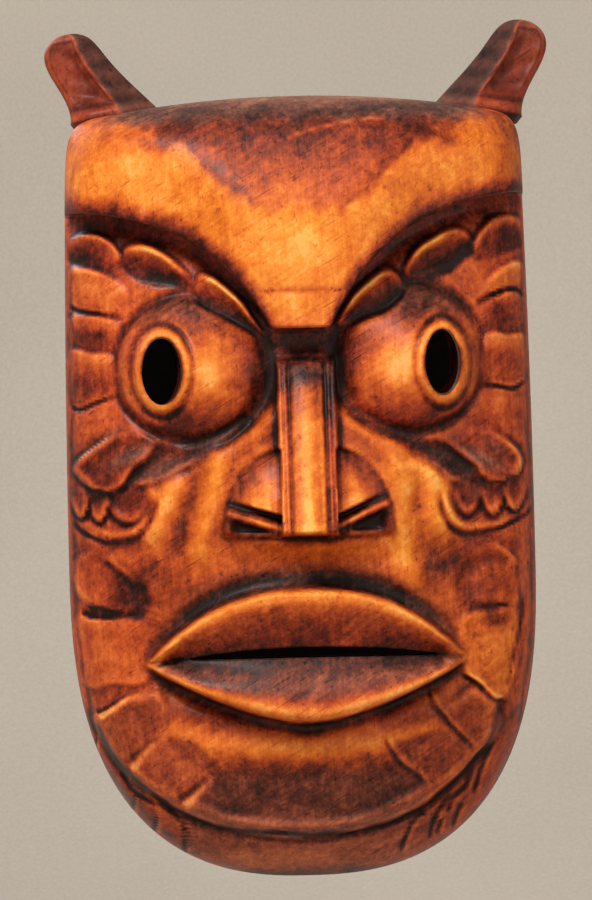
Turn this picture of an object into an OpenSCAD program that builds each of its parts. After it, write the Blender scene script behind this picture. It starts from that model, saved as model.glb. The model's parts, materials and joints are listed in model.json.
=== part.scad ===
// Carved wooden mask: a deep hollow face with pierced eyes and a mouth slit,
// two separately carved ears pegged to the crown, and a plate for hanging it.
//
// Frame: +Z up as worn or hung, the face looks toward -Y, +X is the viewer's
// right, and the flat back rim lies in the plane Y = 0.
// Origin: centre of the back rim, halfway up the carved body.

/* [Body] */
// Width of the carved body across the cheeks
mask_width = 180; // [140:1:220]
// Height of the carved body from chin to crown, ears not counted
mask_height = 300; // [230:1:360]
// How far the plain cheek dome stands in front of the back rim
face_depth = 92; // [80:1:105]
// Depth of the straight side wall before the face rolls over
wall_depth = 38; // [28:1:50]
// Thickness of the wall at the back rim
rim_wall = 13; // [11:0.5:16]
// Wood left between the hollow and the plain cheek dome
face_wall = 14; // [11:0.5:18]

/* [Carving] */
// Brow planes in front of the cheek dome
brow_rise = 11; // [6:0.5:16]
// Nose tip in front of the cheek dome
nose_rise = 26; // [16:1:34]
// Eye cones in front of the cheek dome
eye_rise = 16; // [8:0.5:20]
// Lips in front of the cheek dome
lip_rise = 17; // [8:0.5:22]
// Chin plate in front of the cheek dome
chin_rise = 7; // [3:0.5:10]
// Depth scale of the feather lobes, notches and scallops
lobe_rise = 4; // [1:0.5:6]

/* [Eyes and mouth] */
// Width of each pierced eye
eye_hole_width = 15; // [10:0.5:18]
// Height of each pierced eye
eye_hole_height = 25; // [16:0.5:28]
// Height of the mouth slit at its middle
slit_height = 3.2; // [2:0.1:6]
// Length of the mouth slit
slit_length = 88; // [60:1:96]

/* [Ears] */
// Height of an ear above its seat
ear_height = 36.5; // [25:0.5:45]
// Length of an ear's foot along the crown
ear_foot = 34.5; // [28:0.5:40]
// Thickness of an ear at its foot, front to back
ear_thickness = 27; // [20:0.5:32]
// Distance from the back rim to the middle of the ear's foot
ear_setback = 34; // [26:0.5:40]
// Diameter of the ear pegs
peg_d = 6; // [4:0.5:8]
// Spacing of the two pegs in each ear
peg_spacing = 15; // [12:0.5:18]
// Depth of each peg hole, in the crown and in the ear alike
peg_hole_depth = 7.5; // [5:0.5:9]
// Glue gap around and beyond a peg
glue_gap = 0.15; // [0.05:0.05:0.3]

/* [Ties and hanger] */
// Diameter of the tie hole through each side wall
tie_hole_d = 4.4; // [3:0.2:7]
// Height of the tie holes above the middle of the body
tie_height = 22; // [-20:1:60]
// Distance from the back rim to the middle of a tie hole
tie_inset = 13; // [8:0.5:20]
// Slant of each tie hole, in degrees, with its outer end nearer the back
tie_slant = 9; // [4:1:15]
// Length of the saw-tooth hanger plate
plate_length = 44; // [36:1:60]
// Height of the hanger plate
plate_height = 8; // [6:0.5:9]
// Thickness of the hanger plate
plate_thickness = 1.2; // [0.8:0.1:1.6]
// Diameter of the hanger nails
nail_d = 1.6; // [1.2:0.1:2]
// Length of a hanger nail under its head
nail_length = 14; // [10:0.5:18]

/* [Carving grid] */
// Fineness of the facets on the face
fineness = 1; // [0.6:0.05:1.05]
// Rings of facets between the middle of the face and its edge
edge_rings = 4; // [3:1:6]

/* [Hidden] */
wood = [0.60, 0.27, 0.10];
ear_wood = [0.45, 0.18, 0.09];
peg_wood = [0.72, 0.55, 0.35];
steel = [0.55, 0.55, 0.56];

// The carving is laid out on a face 180 wide and 300 high and stretched to size.
kx = mask_width / 180;
kz = mask_height / 300;
z_mid = -28;          // widest level of the body
hw = 90;              // half width there
chin_len = 122;       // from the widest level down to the chin
over = 6;             // how far solids run past the rim before it is trimmed

function sm(a, b, x) = let (t = min(1, max(0, (x - a) / (b - a)))) t * t * (3 - 2 * t);
function mix(a, b, t) = a + (b - a) * t;
function bell(x, w) = exp(-pow(x / w, 2));
function roll(g, p) = pow(max(0, 1 - pow(min(1, abs(g)), p)), 1 / p);
function seg(x, z, a, b) =
    let (dx = b[0] - a[0], dz = b[1] - a[1],
         t = min(1, max(0, ((x - a[0]) * dx + (z - a[1]) * dz) / (dx * dx + dz * dz))))
    norm([x - a[0] - t * dx, z - a[1] - t * dz]);

// ---- outline of the body, as a level that is 1 on the edge ----
function half_w(z) = z >= z_mid ? hw - 2.6 * pow((z - z_mid) / 170, 2)
    : hw * pow(max(1e-6, 1 - pow((z_mid - z) / chin_len, 2.7)), 0.4);
function top_z(x) = 150.2 - 7.8 * pow(x / 82, 2);
function level(x, z) = z >= z_mid
    ? pow(pow(abs(x) / half_w(z), 24) + pow((z - z_mid) / (top_z(x) - z_mid), 24), 1 / 24)
    : pow(pow(abs(x) / hw, 2.5) + pow((z_mid - z) / chin_len, 2.7), 0.4);
function edge_r(cx, cz, dx, dz, lo = 0, hi = 400, n = 26) =
    n == 0 ? (lo + hi) / 2
    : let (m = (lo + hi) / 2, z = cz + m * dz)
      (z < z_mid - chin_len || z > 151 || level(cx + m * dx, z) > 1)
      ? edge_r(cx, cz, dx, dz, lo, m, n - 1) : edge_r(cx, cz, dx, dz, m, hi, n - 1);

// ---- plain dome and forehead planes ----
function dome(x, z) = z >= z_mid
    ? roll(x / half_w(z), 2.4) * roll((z - z_mid) / (top_z(x) - z_mid), 2.6)
    : roll(level(x, z), 2.4);
function cheek(x, z) = wall_depth + (face_depth - wall_depth) * dome(x, z);
brow_y = face_depth + brow_rise;
function brow(x, z) = min(
    brow_y - 0.42 * max(0, x < 1.5 ? -16 - x : x - 19.5),
    brow_y - 0.44 * max(0, z - 105),
    wall_depth + (brow_y - wall_depth + 7)
        * roll(x / half_w(z), 3) * roll((z - z_mid) / (top_z(x) - z_mid), 4));
// lower edge of the brow: a wide V with a level bottom over the nose
function brow_z(x) = 60.5 + (x < 0 ? 49 : 53.5)
    * (1 - exp(-max(0, abs(x - 0.5) - 11) / 26));

// ---- eyes: cones with their tips off centre, toward the temples ----
function eye_at(s) = s < 0 ? [-42, 46.5, 28.5, 27] : [42.5, 49, 27.5, 28];
function tip_at(s) = s < 0 ? [-52.5, 45.6] : [54, 46.6];
function cone(x, z, s) =
    let (e = eye_at(s), t = tip_at(s),
         ax = (t[0] - e[0]) / e[2], az = (t[1] - e[1]) / e[3],
         dx = (x - t[0]) / e[2], dz = (z - t[1]) / e[3],
         dd = max(1e-9, dx * dx + dz * dz), b = ax * dx + az * dz,
         k = (-b + sqrt(b * b + dd * (1 - ax * ax - az * az))) / dd)
    1 / k;
function ring(x, z, s) = let (t = tip_at(s))
    norm([(x - t[0]) / (eye_hole_width / 2 + 4.6), (z - t[1]) / (eye_hole_height / 2 + 4.8)]);
function eye(x, z) =
    let (s = x < 0 ? -1 : 1, c = cone(x, z, s))
    c > 1.16 ? 0
    : c > 1 ? -2.2 * bell(c - 1.06, 0.05)
    : eye_rise * (1 - pow(c, 1.25)) * 0.92 + 1.6 * bell(ring(x, z, s) - 0.86, 0.2)
      - 1.2 * bell(ring(x, z, s) - 1.14, 0.12);

// ---- nose: a flat fluted ridge with scooped wings ----
nose_x = 2; nose_top = 47; nose_end = -17;
function nose_y(z) = mix(face_depth - 3, face_depth + nose_rise,
                         pow(sm(nose_top + 16, nose_end, z), 0.8));
function on_nose(x, z) = sm(12, 10, abs(x - nose_x)) * sm(nose_top + 3, nose_top - 1, z)
    * sm(nose_end - 1.6, nose_end + 0.6, z);
function flutes(x) = -1.1 * bell(abs(x - nose_x) - 6.8, 1.3);
function wing(x, z) =
    let (s = x < nose_x ? -1 : 1, u = (x - nose_x) * s, w = s < 0 ? 32.5 : 32,
         q = norm([(u - 9) / (w - 9), (z + 17) / 31.5]),
         inside = sm(1.1, 0.9, q) * sm(8, 11, u) * sm(nose_end - 1.6, nose_end + 0.6, z),
         band = z + 9 - 0.36 * (u - 11))
    inside * (11 - 7.5 * sm(0.5, 0.95, q) - 4 * bell(band - 2, 3.2) - 8 * sm(-2.5, -6, band));
function bridge(x, z) = 9 * bell(x - nose_x, 30) * sm(50, 24, z) * sm(-30, -14, z);

// ---- lips and chin ----
function lip_top(x) = -38.5 - 23.5 * pow(abs(x) / 57, 2.4);
function lip_end(x) = -88.5 + 24 * pow(abs(x) / 57, 2.2);
function slit_z(x) = -61.8 - 2.2 * pow(x / 50, 2);
function lips(x, z) =
    let (in = sm(60, 50, abs(x)), a = lip_top(x), b = lip_end(x), m = slit_z(x),
         up = sm(a + 2.5, a - 1.5, z) * sm(m - 1, m + 1, z),
         lo = sm(b - 2, b + 2, z) * sm(m + 1, m - 1, z))
    in * (up * mix(lip_rise - 6, lip_rise, sm(m, a - 2, z))
        + lo * mix(lip_rise - 7, lip_rise, sm(m, b + 5, z))
        - 2.4 * bell(z - a - 4.5, 3.4) - 3.5 * bell(z - b + 3.4, 2.6));
function chin_e(x, z) = norm([(x + 3) / (x < -3 ? 79 : 76), min(0, z + 75) / 58]);
function chin(x, z) =
    let (e = chin_e(x, z), on = sm(-78, -92, z))
    on * (chin_rise * sm(1.02, 0.97, e) * (0.55 + 0.45 * bell(z + 100, 8)
          + 0.5 * bell(e - 0.93, 0.035)) - 2.6 * bell(e - 1.035, 0.03));

// ---- lobes, notches and ridges round the eyes and cheeks ----
function leaf(x, z, a, b, w) = 1 - sm(0.3 * w, 1.15 * w, seg(x, z, a, b));
function cut(x, z, a, b, w) = let (d = seg(x, z, a, b)) d > 3 * w ? 0 : -bell(d, w + 0.8);
function ridge(x, z, a, b, w) = bell(seg(x, z, a, b), w);
function lobes(x, z) =
    let (s = x < 0 ? -1 : 1, u = abs(x), dz = x < 0 ? 0 : 3)
    leaf(u, z, [34, 75.5], [18, 64 + dz / 2], 5.5)
    + leaf(u, z, [62, 89 + dz / 2], [46, 82 + dz / 2], 7)
    + leaf(u, z, [84, 93 + dz], [71, 89 + dz], 7)
    + leaf(u, z, [63, 17], [76, 7], 8.5) * 0.9
    + ridge(u, z, [46, 11], [60, 3], 5) * 0.5
    + leaf(u, z, [81, -6], [80, -7], 6.5) * 0.8 + leaf(u, z, [68, -8], [67, -9], 7.5) * 0.8
    + 1.3 * ridge(u, z, [50 - dz, 4], [57 - dz, -18], 6.5)
    + 1.1 * ridge(u, z, [34, 14], [38, -14], 4.6) + 0.9 * ridge(u, z, [38, -14], [47, -40], 5.5)
    + leaf(u, z, [68, -30], [78, -38], 9) * 0.8 + leaf(u, z, [72, -56], [73, -66], 11) * 0.8
    + leaf(u, z, [72, -88], [62, -92], 10) * 0.7 + leaf(u, z, [58, -103], [46, -106], 10) * 0.7
    + cut(u, z, [88, 68 + dz], [69, 68 + dz * 0.7], 2) * 0.8
    + cut(u, z, [88, 33 + dz], [70, 35 + dz / 2], 2) * 0.8
    + cut(u, z, [84, -45], [62, -47], 2.2) + cut(u, z, [58, -28], [66, -40], 7) * 0.5
    + cut(u, z, [78, -82], [63, -74.5], 1.8) + cut(u, z, [67, -103], [57, -94.5], 1.8)
    + cut(u, z, [47, -117], [36, -109], 1.8) + cut(u, z, [86, 14], [66, 25], 2) * 0.8
    + cut(u, z, [70, -19], [60, -22], 3) * 0.6
    + cut(u, z, [68, -112], [66, -124], 1.6) * 0.5 + cut(u, z, [50, -125], [45, -137], 1.8) * 0.6;
function edge_fade(x, z) = sm(0.995, 0.965, level(x, z));

// ---- the whole face, measured forward from the back rim ----
function face_y(x, z) =
    let (v = brow_z(x), b = sm(v - 1.2, v + 1, z), n = on_nose(x, z),
         gutter = sm(-95, -60, z) * 3.2 * bell(z - v + 5, 4.5) * sm(9, 13, abs(x - 0.5))
                  + 6 * bell(x - 1, 16) * bell(z - 52, 6),
         low = cheek(x, z) + edge_fade(x, z) * (eye(x, z) + lobe_rise * lobes(x, z) - gutter)
               + bridge(x, z) + wing(x, z) + lips(x, z) + edge_fade(x, z) * chin(x, z),
         with_nose = mix(low, nose_y(z) + flutes(x), n))
    mix(with_nose, max(brow(x, z), cheek(x, z) + 1) - 0.8 * bell(z - 74.5, 1.2) * sm(20, 15, abs(x)), b);

// ---- the hollow ----
in_hw = hw - rim_wall / kx;
function in_level(x, z) = z >= z_mid
    ? pow(pow(abs(x) / (in_hw - 2.2 * pow((z - z_mid) / 160, 2)), 9)
          + pow((z - z_mid) / (178 - rim_wall * 1.15 / kz - 5 * pow(x / 78, 2)), 9), 1 / 9)
    : pow(pow(abs(x) / in_hw, 2.5)
          + pow((z_mid - z) / (chin_len - rim_wall * 1.1 / kz), 2.6), 0.4);
function in_edge(dx, dz, lo = 0, hi = 400, n = 24) =
    n == 0 ? (lo + hi) / 2
    : let (m = (lo + hi) / 2)
      in_level(m * dx, m * dz) > 1 ? in_edge(dx, dz, lo, m, n - 1) : in_edge(dx, dz, m, hi, n - 1);
function hollow_y(x, z) = (face_depth - face_wall) * roll(in_level(x, z), 3)
    + 9 * bell(x - nose_x, 13) * sm(34, 4, z) * sm(-24, -8, z);

// ---- skinned solids: a core of rows and columns, then rings out to the edge ----
function core_pt(i, j, nc, nr, x0, x1, z0, z1) = [mix(x0, x1, i / nc), mix(z0, z1, j / nr)];
// steps through a list of stations, with a given number of facets in each gap
function gaps(n) = [for (v = n) v < 2 ? 1 : round(v * fineness)];
function total(v, i = 0) = i >= len(v) ? 0 : v[i] + total(v, i + 1);
function station(n, i, k = 0) = i <= n[k] || k == len(n) - 1 ? [k, i / n[k]] : station(n, i - n[k], k + 1);
function along(at, q) = mix(at[q[0]], at[q[0] + 1], q[1]);
col_at = [-72, -34, -16, nose_x - 12.2, nose_x - 10, nose_x + 10, nose_x + 12.2, 19.5, 37, 72];
col_n = gaps([12, 5, 2, 1, 6, 1, 2, 5, 11]);
row_n = gaps([11, 8, 6, 6, 1, 31, 1, 6, 3]);
side_x = 72; core_low = -98; core_high = 134;
function chin_row(x) = -75 - 60 * sqrt(1 - pow(x / 78, 2));
function peak(x) = min(105 + 0.97 * max(0, abs(x - 1.75) - 17.75), core_high - 4);
function row_at(x) = let (m = slit_z(x), v = brow_z(x)) [chin_row(x), min(lip_end(x), m - 9) - 1.5, m,
    max(lip_top(x), m + 9) + 1, nose_end - 1.6, nose_end + 0.6, v - 1.4, v + 1.2, peak(x), core_high];
// the point of the edge that a point of the core's border runs out to
function side_z(z) = z < 60 ? z : z + 6 * pow((z - 60) / (core_high - 60), 3);
function edge_pt(p, top, low) =
    let (s = p[0] < 0 ? -1 : 1, zs = side_z(p[1]), xe = edge_r(0, side_z(core_high), 1, 0),
         zc = chin_row(side_x), l = norm([p[0], p[1] - zc]))
    top ? [p[0] / side_x * xe, 60 + edge_r(p[0] / side_x * xe, 60, 0, 1)]
    : low ? [0, zc] + edge_r(0, zc, p[0] / l, (p[1] - zc) / l) * [p[0], p[1] - zc] / l
    : [s * edge_r(0, zs, 1, 0), zs];
function around(k, nc, nr) = k < nc ? [k, 0] : k < nc + nr ? [nc, k - nc]
    : k < 2 * nc + nr ? [2 * nc + nr - k, nr] : [0, 2 * nc + 2 * nr - k];

module skin(core, rings, back, nc, nr) {
    // core: rows of points; rings: loops of points outward; back: Y of the flat closing face
    np = 2 * (nc + nr);
    n0 = (nc + 1) * (nr + 1);
    nrings = len(rings);
    last = rings[nrings - 1];
    pts = concat([for (j = [0:nr], i = [0:nc]) core[j][i]],
                 [for (r = [0:nrings - 1], k = [0:np - 1]) rings[r][k]],
                 [for (k = [0:np - 1]) [last[k][0], back, last[k][2]]]);
    function id(r, k) = let (m = k % np) r < 0
        ? let (a = around(m, nc, nr)) a[1] * (nc + 1) + a[0] : n0 + r * np + m;
    faces = concat(
        [for (j = [0:nr - 1], i = [0:nc - 1]) each
            let (a = j * (nc + 1) + i, b = a + 1, d = a + nc + 1, c = d + 1,
                 flip = norm(pts[a] - pts[c]) > norm(pts[b] - pts[d]))
            flip ? [[a, d, b], [b, d, c]] : [[a, d, c], [a, c, b]]],
        [for (r = [-1:nrings - 1], k = [0:np - 1]) each
            let (a = id(r, k), b = id(r, k + 1), c = id(r + 1, k + 1), d = id(r + 1, k))
            [[a, b, c], [a, c, d]]],
        [[for (k = [0:np - 1]) id(nrings, k)]]);
    polyhedron(points = pts, faces = faces, convexity = 8);
}

module body_block() {
    nc = total(col_n); nr = total(row_n); np = 2 * (nc + nr);
    flat = [for (j = [0:nr]) [for (i = [0:nc])
        let (x = along(col_at, station(col_n, i))) [x, along(row_at(x), station(row_n, j))]]];
    core = [for (row = flat) [for (p = row) [p[0] * kx, -face_y(p[0], p[1]), p[1] * kz]]];
    rims = [for (k = [0:np - 1]) let (a = around(k, nc, nr), p = flat[a[1]][a[0]])
        [p, edge_pt(p, a[1] == nr, a[1] == 0)]];
    rings = [for (r = [1:edge_rings]) [for (k = [0:np - 1])
        let (t = 1 - pow(1 - r / edge_rings, 1.5),
             q = mix(rims[k][0], rims[k][1], min(0.9995, t)))
        [q[0] * kx, -face_y(q[0], q[1]), q[1] * kz]]];
    skin(core, rings, over, nc, nr);
}

module hollow_block() {
    nc = 18; nr = 28; np = 2 * (nc + nr);
    x0 = -50; x1 = 50; z0 = -96; z1 = 104;
    core = [for (j = [0:nr]) [for (i = [0:nc])
        let (p = core_pt(i, j, nc, nr, x0, x1, z0, z1)) [p[0] * kx, -hollow_y(p[0], p[1]), p[1] * kz]]];
    rings = [for (r = [1:5]) [for (k = [0:np - 1])
        let (a = around(k, nc, nr), p = core_pt(a[0], a[1], nc, nr, x0, x1, z0, z1),
             l = norm(p), e = in_edge(p[0] / l, p[1] / l),
             t = 1 - pow(1 - r / 5, 2), q = p * mix(1, e / l, min(0.9999, t)))
        [q[0] * kx, -hollow_y(q[0], q[1]), q[1] * kz]]];
    skin(core, rings, over + 2, nc, nr);
}

// ---- ear seats: each foot is let into a shallow socket in the crown ----
function seat_x(s) = s < 0 ? -68 : 72;
function seat_tilt(s) = let (a = abs(seat_x(s)) - 16, b = abs(seat_x(s)) + 13)
    atan2((top_z(a) - top_z(b)) * kz, 29 * kx);
seat_cut = 3;         // depth of the socket
ear_u = ear_foot / 34.5;
function ear_v(s) = ear_height / 36 * (s < 0 ? 0.955 : 1.02);   // no two hand-cut ears match

// puts a child in an ear's own frame: +X along the crown to the right, +Z up off the crown
module on_crown(s) {
    translate([seat_x(s) * kx, -ear_setback, top_z(seat_x(s)) * kz - 0.6])
        rotate([0, s * seat_tilt(s), 0]) children();
}
module each_peg(s) {
    on_crown(s) for (i = [-1, 1]) translate([i * peg_spacing / 2 - s * 0.5, 0, -seat_cut]) children();
}
module peg_holes(s) {
    each_peg(s) translate([0, 0, -peg_hole_depth])
        cylinder(d = peg_d + 2 * glue_gap, h = 2 * peg_hole_depth, $fn = 40);
}

module eye_prism(s) {
    t = tip_at(s);
    translate([t[0] * kx, 1, t[1] * kz]) rotate([90, 0, 0])
        linear_extrude(height = face_depth + 40)
            polygon([for (i = [0:35]) [cos(i * 10) * eye_hole_width / 2, sin(i * 10) * eye_hole_height / 2]]);
}

module slit_prism() {
    n = 16;
    rotate([90, 0, 0]) linear_extrude(height = face_depth + 40)
        polygon(concat(
            [for (i = [-n:n]) let (x = i / n * slit_length / 2)
                [x * kx, slit_z(x) * kz - slit_height / 2 * (1 - pow(abs(i / n), 2.2))]],
            [for (i = [n - 1:-1:-n + 1]) let (x = i / n * slit_length / 2)
                [x * kx, slit_z(x) * kz + slit_height / 2 * (1 - pow(abs(i / n), 2.2))]]));
}

// ---- hanger: a plate let into the rim, with a pocket behind its teeth ----
plate_z = top_z(0) * kz - rim_wall / 2 - 0.4;
recess = plate_thickness + 1.2;
nail_x = plate_length / 2 - 4;

module mask_shell() {
    color(wood) difference() {
        body_block();
        hollow_block();
        translate([-200, 0, -300]) cube([400, 40, 600]);
        eye_prism(-1);
        eye_prism(1);
        slit_prism();
        // ear seats and peg holes
        for (s = [-1, 1]) {
            on_crown(s) translate([0, 0, -seat_cut]) linear_extrude(height = 30)
                polygon(ear_section(s, 0, glue_gap));
            peg_holes(s);
        }
        // tie holes through the side walls
        for (s = [-1, 1])
            translate([s * (hw * kx - rim_wall / 2), -tie_inset, tie_height])
                rotate([0, 0, s * tie_slant]) rotate([0, s * 90, 0])
                    cylinder(d = tie_hole_d, h = 3 * rim_wall, center = true, $fn = 48);
        // hanger recess, the pocket under its teeth, and two nail holes
        translate([-plate_length / 2 - 0.4, -recess, plate_z - plate_height / 2 - 0.3])
            cube([plate_length + 0.8, recess + 1, plate_height + 0.6]);
        translate([-12, -recess - 5, plate_z - plate_height / 2 + 0.6])
            cube([24, 6, plate_height - 2]);
        for (i = [-1, 1]) translate([i * nail_x, 0, plate_z]) rotate([90, 0, 0])
            cylinder(d = nail_d + 0.04, h = recess + nail_length, $fn = 24);
    }
}

// ---- ears: sections up a leaning tongue, hollowed in front ----
function ear_w(v) = (11.4 + 5.9 * exp(-v / 12)) * pow(max(0, 1 - pow(v / 36, 7)), 0.5);
function ear_c(v) = 0.3 - 12.8 * sm(-4, 32, v);
function ear_t(v) = (0.46 + 0.54 * exp(-pow(v / 11, 1.4))) * pow(max(0, 1 - pow(v / 36, 9)), 0.45);
function ear_front(q, v) =
    let (r = mix(0.15, 0.3, v / 36), bowl = 0.3 * sm(3, 10, v) * sm(36, 30, v))
    q > r ? pow(max(0, (1 - q) / (1 - r)), 0.8)
    : (1 - bowl * sin(180 * (q + 1) / (r + 1))) * pow(max(0, 1 - pow((r - q) / (r + 1), 5)), 0.5);
ear_k = 28;           // points round a section
function ear_section(s, v, grow = 0) = [for (k = [0:ear_k - 1])
    let (a = 360 * k / ear_k, q = cos(a),
         y = sin(a) < 0 ? -ear_front(q, v) : 0.8 * pow(max(0, 1 - q * q), 0.5))
    [-s * (ear_c(v) + ear_w(v) * q) * ear_u - s * grow * q,
     y * ear_t(v) * ear_thickness / 2 + sin(a) * grow]];
module ear_block(s) {
    nv = 15;
    pts = [for (j = [0:nv]) let (t = max(0, j - 1) / (nv - 1), v = 36 * (1 - pow(1 - t, 1.9)) * 0.999)
        for (p = ear_section(s, v)) [p[0], p[1], j == 0 ? -seat_cut : v * ear_v(s)]];
    up = s < 0;
    faces = concat(
        [for (j = [0:nv - 1], k = [0:ear_k - 1]) each
            let (a = j * ear_k + k, b = j * ear_k + (k + 1) % ear_k, c = b + ear_k, d = a + ear_k)
            up ? [[a, c, b], [a, d, c]] : [[a, b, c], [a, c, d]]],
        [[for (k = [0:ear_k - 1]) up ? k : ear_k - 1 - k]],
        [[for (k = [0:ear_k - 1]) nv * ear_k + (up ? ear_k - 1 - k : k)]]);
    on_crown(s) polyhedron(points = pts, faces = faces, convexity = 4);
}
module left_ear() { color(ear_wood) difference() { ear_block(-1); peg_holes(-1); } }
module right_ear() { color(ear_wood) difference() { ear_block(1); peg_holes(1); } }

module pegs(s) {
    l = 2 * (peg_hole_depth - glue_gap);
    each_peg(s) translate([0, 0, -l / 2]) {
        translate([0, 0, 0.6]) cylinder(d = peg_d, h = l - 1.2, $fn = 40);
        cylinder(d1 = peg_d - 1.2, d2 = peg_d, h = 0.6, $fn = 40);
        translate([0, 0, l - 0.6]) cylinder(d1 = peg_d, d2 = peg_d - 1.2, h = 0.6, $fn = 40);
    }
}
module left_ear_pegs() { color(peg_wood) pegs(-1); }
module right_ear_pegs() { color(peg_wood) pegs(1); }

// ---- hanger parts ----
module hanger_plate() {
    teeth = 7;
    color(steel) translate([0, -recess + plate_thickness, plate_z]) rotate([90, 0, 0])
        linear_extrude(height = plate_thickness) difference() {
            polygon(concat(
                [[-plate_length / 2, -plate_height / 2], [-plate_length / 2 + 10, -plate_height / 2]],
                [for (i = [0:2 * teeth])
                    [mix(-9, 9, i / (2 * teeth)), (i % 2 == 0 ? 0.4 : 1.6) - plate_height / 2 + 1.2]],
                [[plate_length / 2 - 10, -plate_height / 2], [plate_length / 2, -plate_height / 2],
                 [plate_length / 2, plate_height / 2 - 1.5], [plate_length / 2 - 1.5, plate_height / 2],
                 [-plate_length / 2 + 1.5, plate_height / 2], [-plate_length / 2, plate_height / 2 - 1.5]]));
            for (i = [-1, 1]) translate([i * nail_x, 0]) circle(d = nail_d + 0.3, $fn = 24);
        }
}
module hanger_nails() {
    head = 0.9;
    color(steel) for (i = [-1, 1]) translate([i * nail_x, -recess + plate_thickness, plate_z])
        rotate([90, 0, 0]) {
            cylinder(d = nail_d, h = nail_length - 2, $fn = 24);
            translate([0, 0, nail_length - 2]) cylinder(d1 = nail_d, d2 = 0.3, h = 1.8, $fn = 24);
            translate([0, 0, -head]) cylinder(d1 = nail_d + 1.2, d2 = nail_d + 2, h = head, $fn = 24);
        }
}

mask_shell();
left_ear();
right_ear();
left_ear_pegs();
right_ear_pegs();
hanger_plate();
hanger_nails();
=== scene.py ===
"""A deep carved wooden mask with two let-in ears, sculpted over its CAD frame."""
import json
import math
import bmesh
import bpy
import numpy as np
from mathutils import Matrix, Quaternion, Vector
from mathutils.kdtree import KDTree


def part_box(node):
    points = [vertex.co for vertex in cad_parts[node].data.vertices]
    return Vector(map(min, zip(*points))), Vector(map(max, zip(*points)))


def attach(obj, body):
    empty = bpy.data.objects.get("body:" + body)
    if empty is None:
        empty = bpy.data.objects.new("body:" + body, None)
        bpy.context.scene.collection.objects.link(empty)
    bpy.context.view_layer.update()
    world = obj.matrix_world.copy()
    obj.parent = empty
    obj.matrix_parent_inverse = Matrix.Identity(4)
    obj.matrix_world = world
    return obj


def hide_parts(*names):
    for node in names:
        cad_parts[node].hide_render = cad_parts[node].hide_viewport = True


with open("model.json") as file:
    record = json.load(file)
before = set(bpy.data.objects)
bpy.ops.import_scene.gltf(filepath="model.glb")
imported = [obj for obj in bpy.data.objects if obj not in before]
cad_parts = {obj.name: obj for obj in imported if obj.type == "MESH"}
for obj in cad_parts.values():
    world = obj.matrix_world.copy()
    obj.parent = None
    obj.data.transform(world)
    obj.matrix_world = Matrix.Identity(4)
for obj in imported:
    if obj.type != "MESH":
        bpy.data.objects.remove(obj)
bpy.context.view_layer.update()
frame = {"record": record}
MM = 0.001


# ---------------------------------------------------------------- plain maths
def mix(a, b, t):
    return a + (b - a) * t


def sm(a, b, x):
    """A smooth step: 0 at a and 1 at b."""
    t = np.clip((x - a) / (b - a), 0, 1)
    return t * t * (3 - 2 * t)


def bell(x, w):
    return np.exp(-(x / w) ** 2)


def roll(g, p):
    """A rounded fall from 1 in the middle to 0 at the edge, g going from 0 to 1."""
    return np.maximum(0, 1 - np.minimum(1, np.abs(g)) ** p) ** (1 / p)


def soft_min(a, b, k):
    t = np.clip(0.5 + 0.5 * (b - a) / k, 0, 1)
    return mix(b, a, t) - k * t * (1 - t)


def curve(pts, n=7, closed=False):
    """A smooth line through a few points."""
    p = np.array(pts, float)
    if closed:
        p = np.vstack([p[-1], p, p[0], p[1]])
    else:
        p = np.vstack([2 * p[0] - p[1], p, 2 * p[-1] - p[-2]])
    out = []
    for i in range(1, len(p) - 2):
        for t in np.arange(n) / n:
            a, b, c, d = p[i - 1:i + 3]
            out.append(0.5 * (2 * b + (c - a) * t + (2 * a - 5 * b + 4 * c - d) * t * t
                              + (3 * b - a - 3 * c + d) * t ** 3))
    if not closed:
        out.append(p[-2])
    return np.array(out)


def reach(x, z, line, closed=False):
    """Distance to a line, how far along it, and which side (left of travel is +)."""
    n = len(line)
    best = np.full(x.shape, 1e9)
    along = np.zeros(x.shape)
    side = np.ones(x.shape)
    count = n if closed else n - 1
    for i in range(count):
        a, b = line[i], line[(i + 1) % n]
        d = b - a
        t = np.clip(((x - a[0]) * d[0] + (z - a[1]) * d[1]) / max(1e-9, d @ d), 0, 1)
        ex, ez = x - a[0] - t * d[0], z - a[1] - t * d[1]
        r = ex * ex + ez * ez
        near = r < best
        best = np.where(near, r, best)
        along = np.where(near, (i + t) / count, along)
        side = np.where(near, np.sign(d[0] * ez - d[1] * ex + 1e-12), side)
    return np.sqrt(best), along, side


def inside_of(x, z, loop):
    """Signed distance to a closed loop, negative inside."""
    hit = np.zeros(x.shape, bool)
    for i in range(len(loop)):
        (x0, z0), (x1, z1) = loop[i - 1], loop[i]
        if z0 != z1:
            cross = (z0 > z) != (z1 > z)
            hit ^= cross & (x < (x1 - x0) * (z - z0) / (z1 - z0) + x0)
    return np.where(hit, -1, 1) * reach(x, z, loop, True)[0]


# ------------------------------------------------- outline and plain surfaces
Z_MID, HALF, CHIN = -28.0, 90.0, 122.0
WALL, FACE, BROW = 38.0, 92.0, 103.0
RIM_WALL, FACE_WALL = 13, 14
BODY_TOP = 151.5


def half_w(z):
    low = HALF * np.maximum(1e-6, 1 - np.clip((Z_MID - z) / CHIN, 0, 1) ** 2.7) ** 0.4
    return np.where(z >= Z_MID, HALF - 2.6 * ((z - Z_MID) / 170) ** 2, low)


def top_z(x):
    return 150.2 - 7.8 * (x / 82) ** 2


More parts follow.
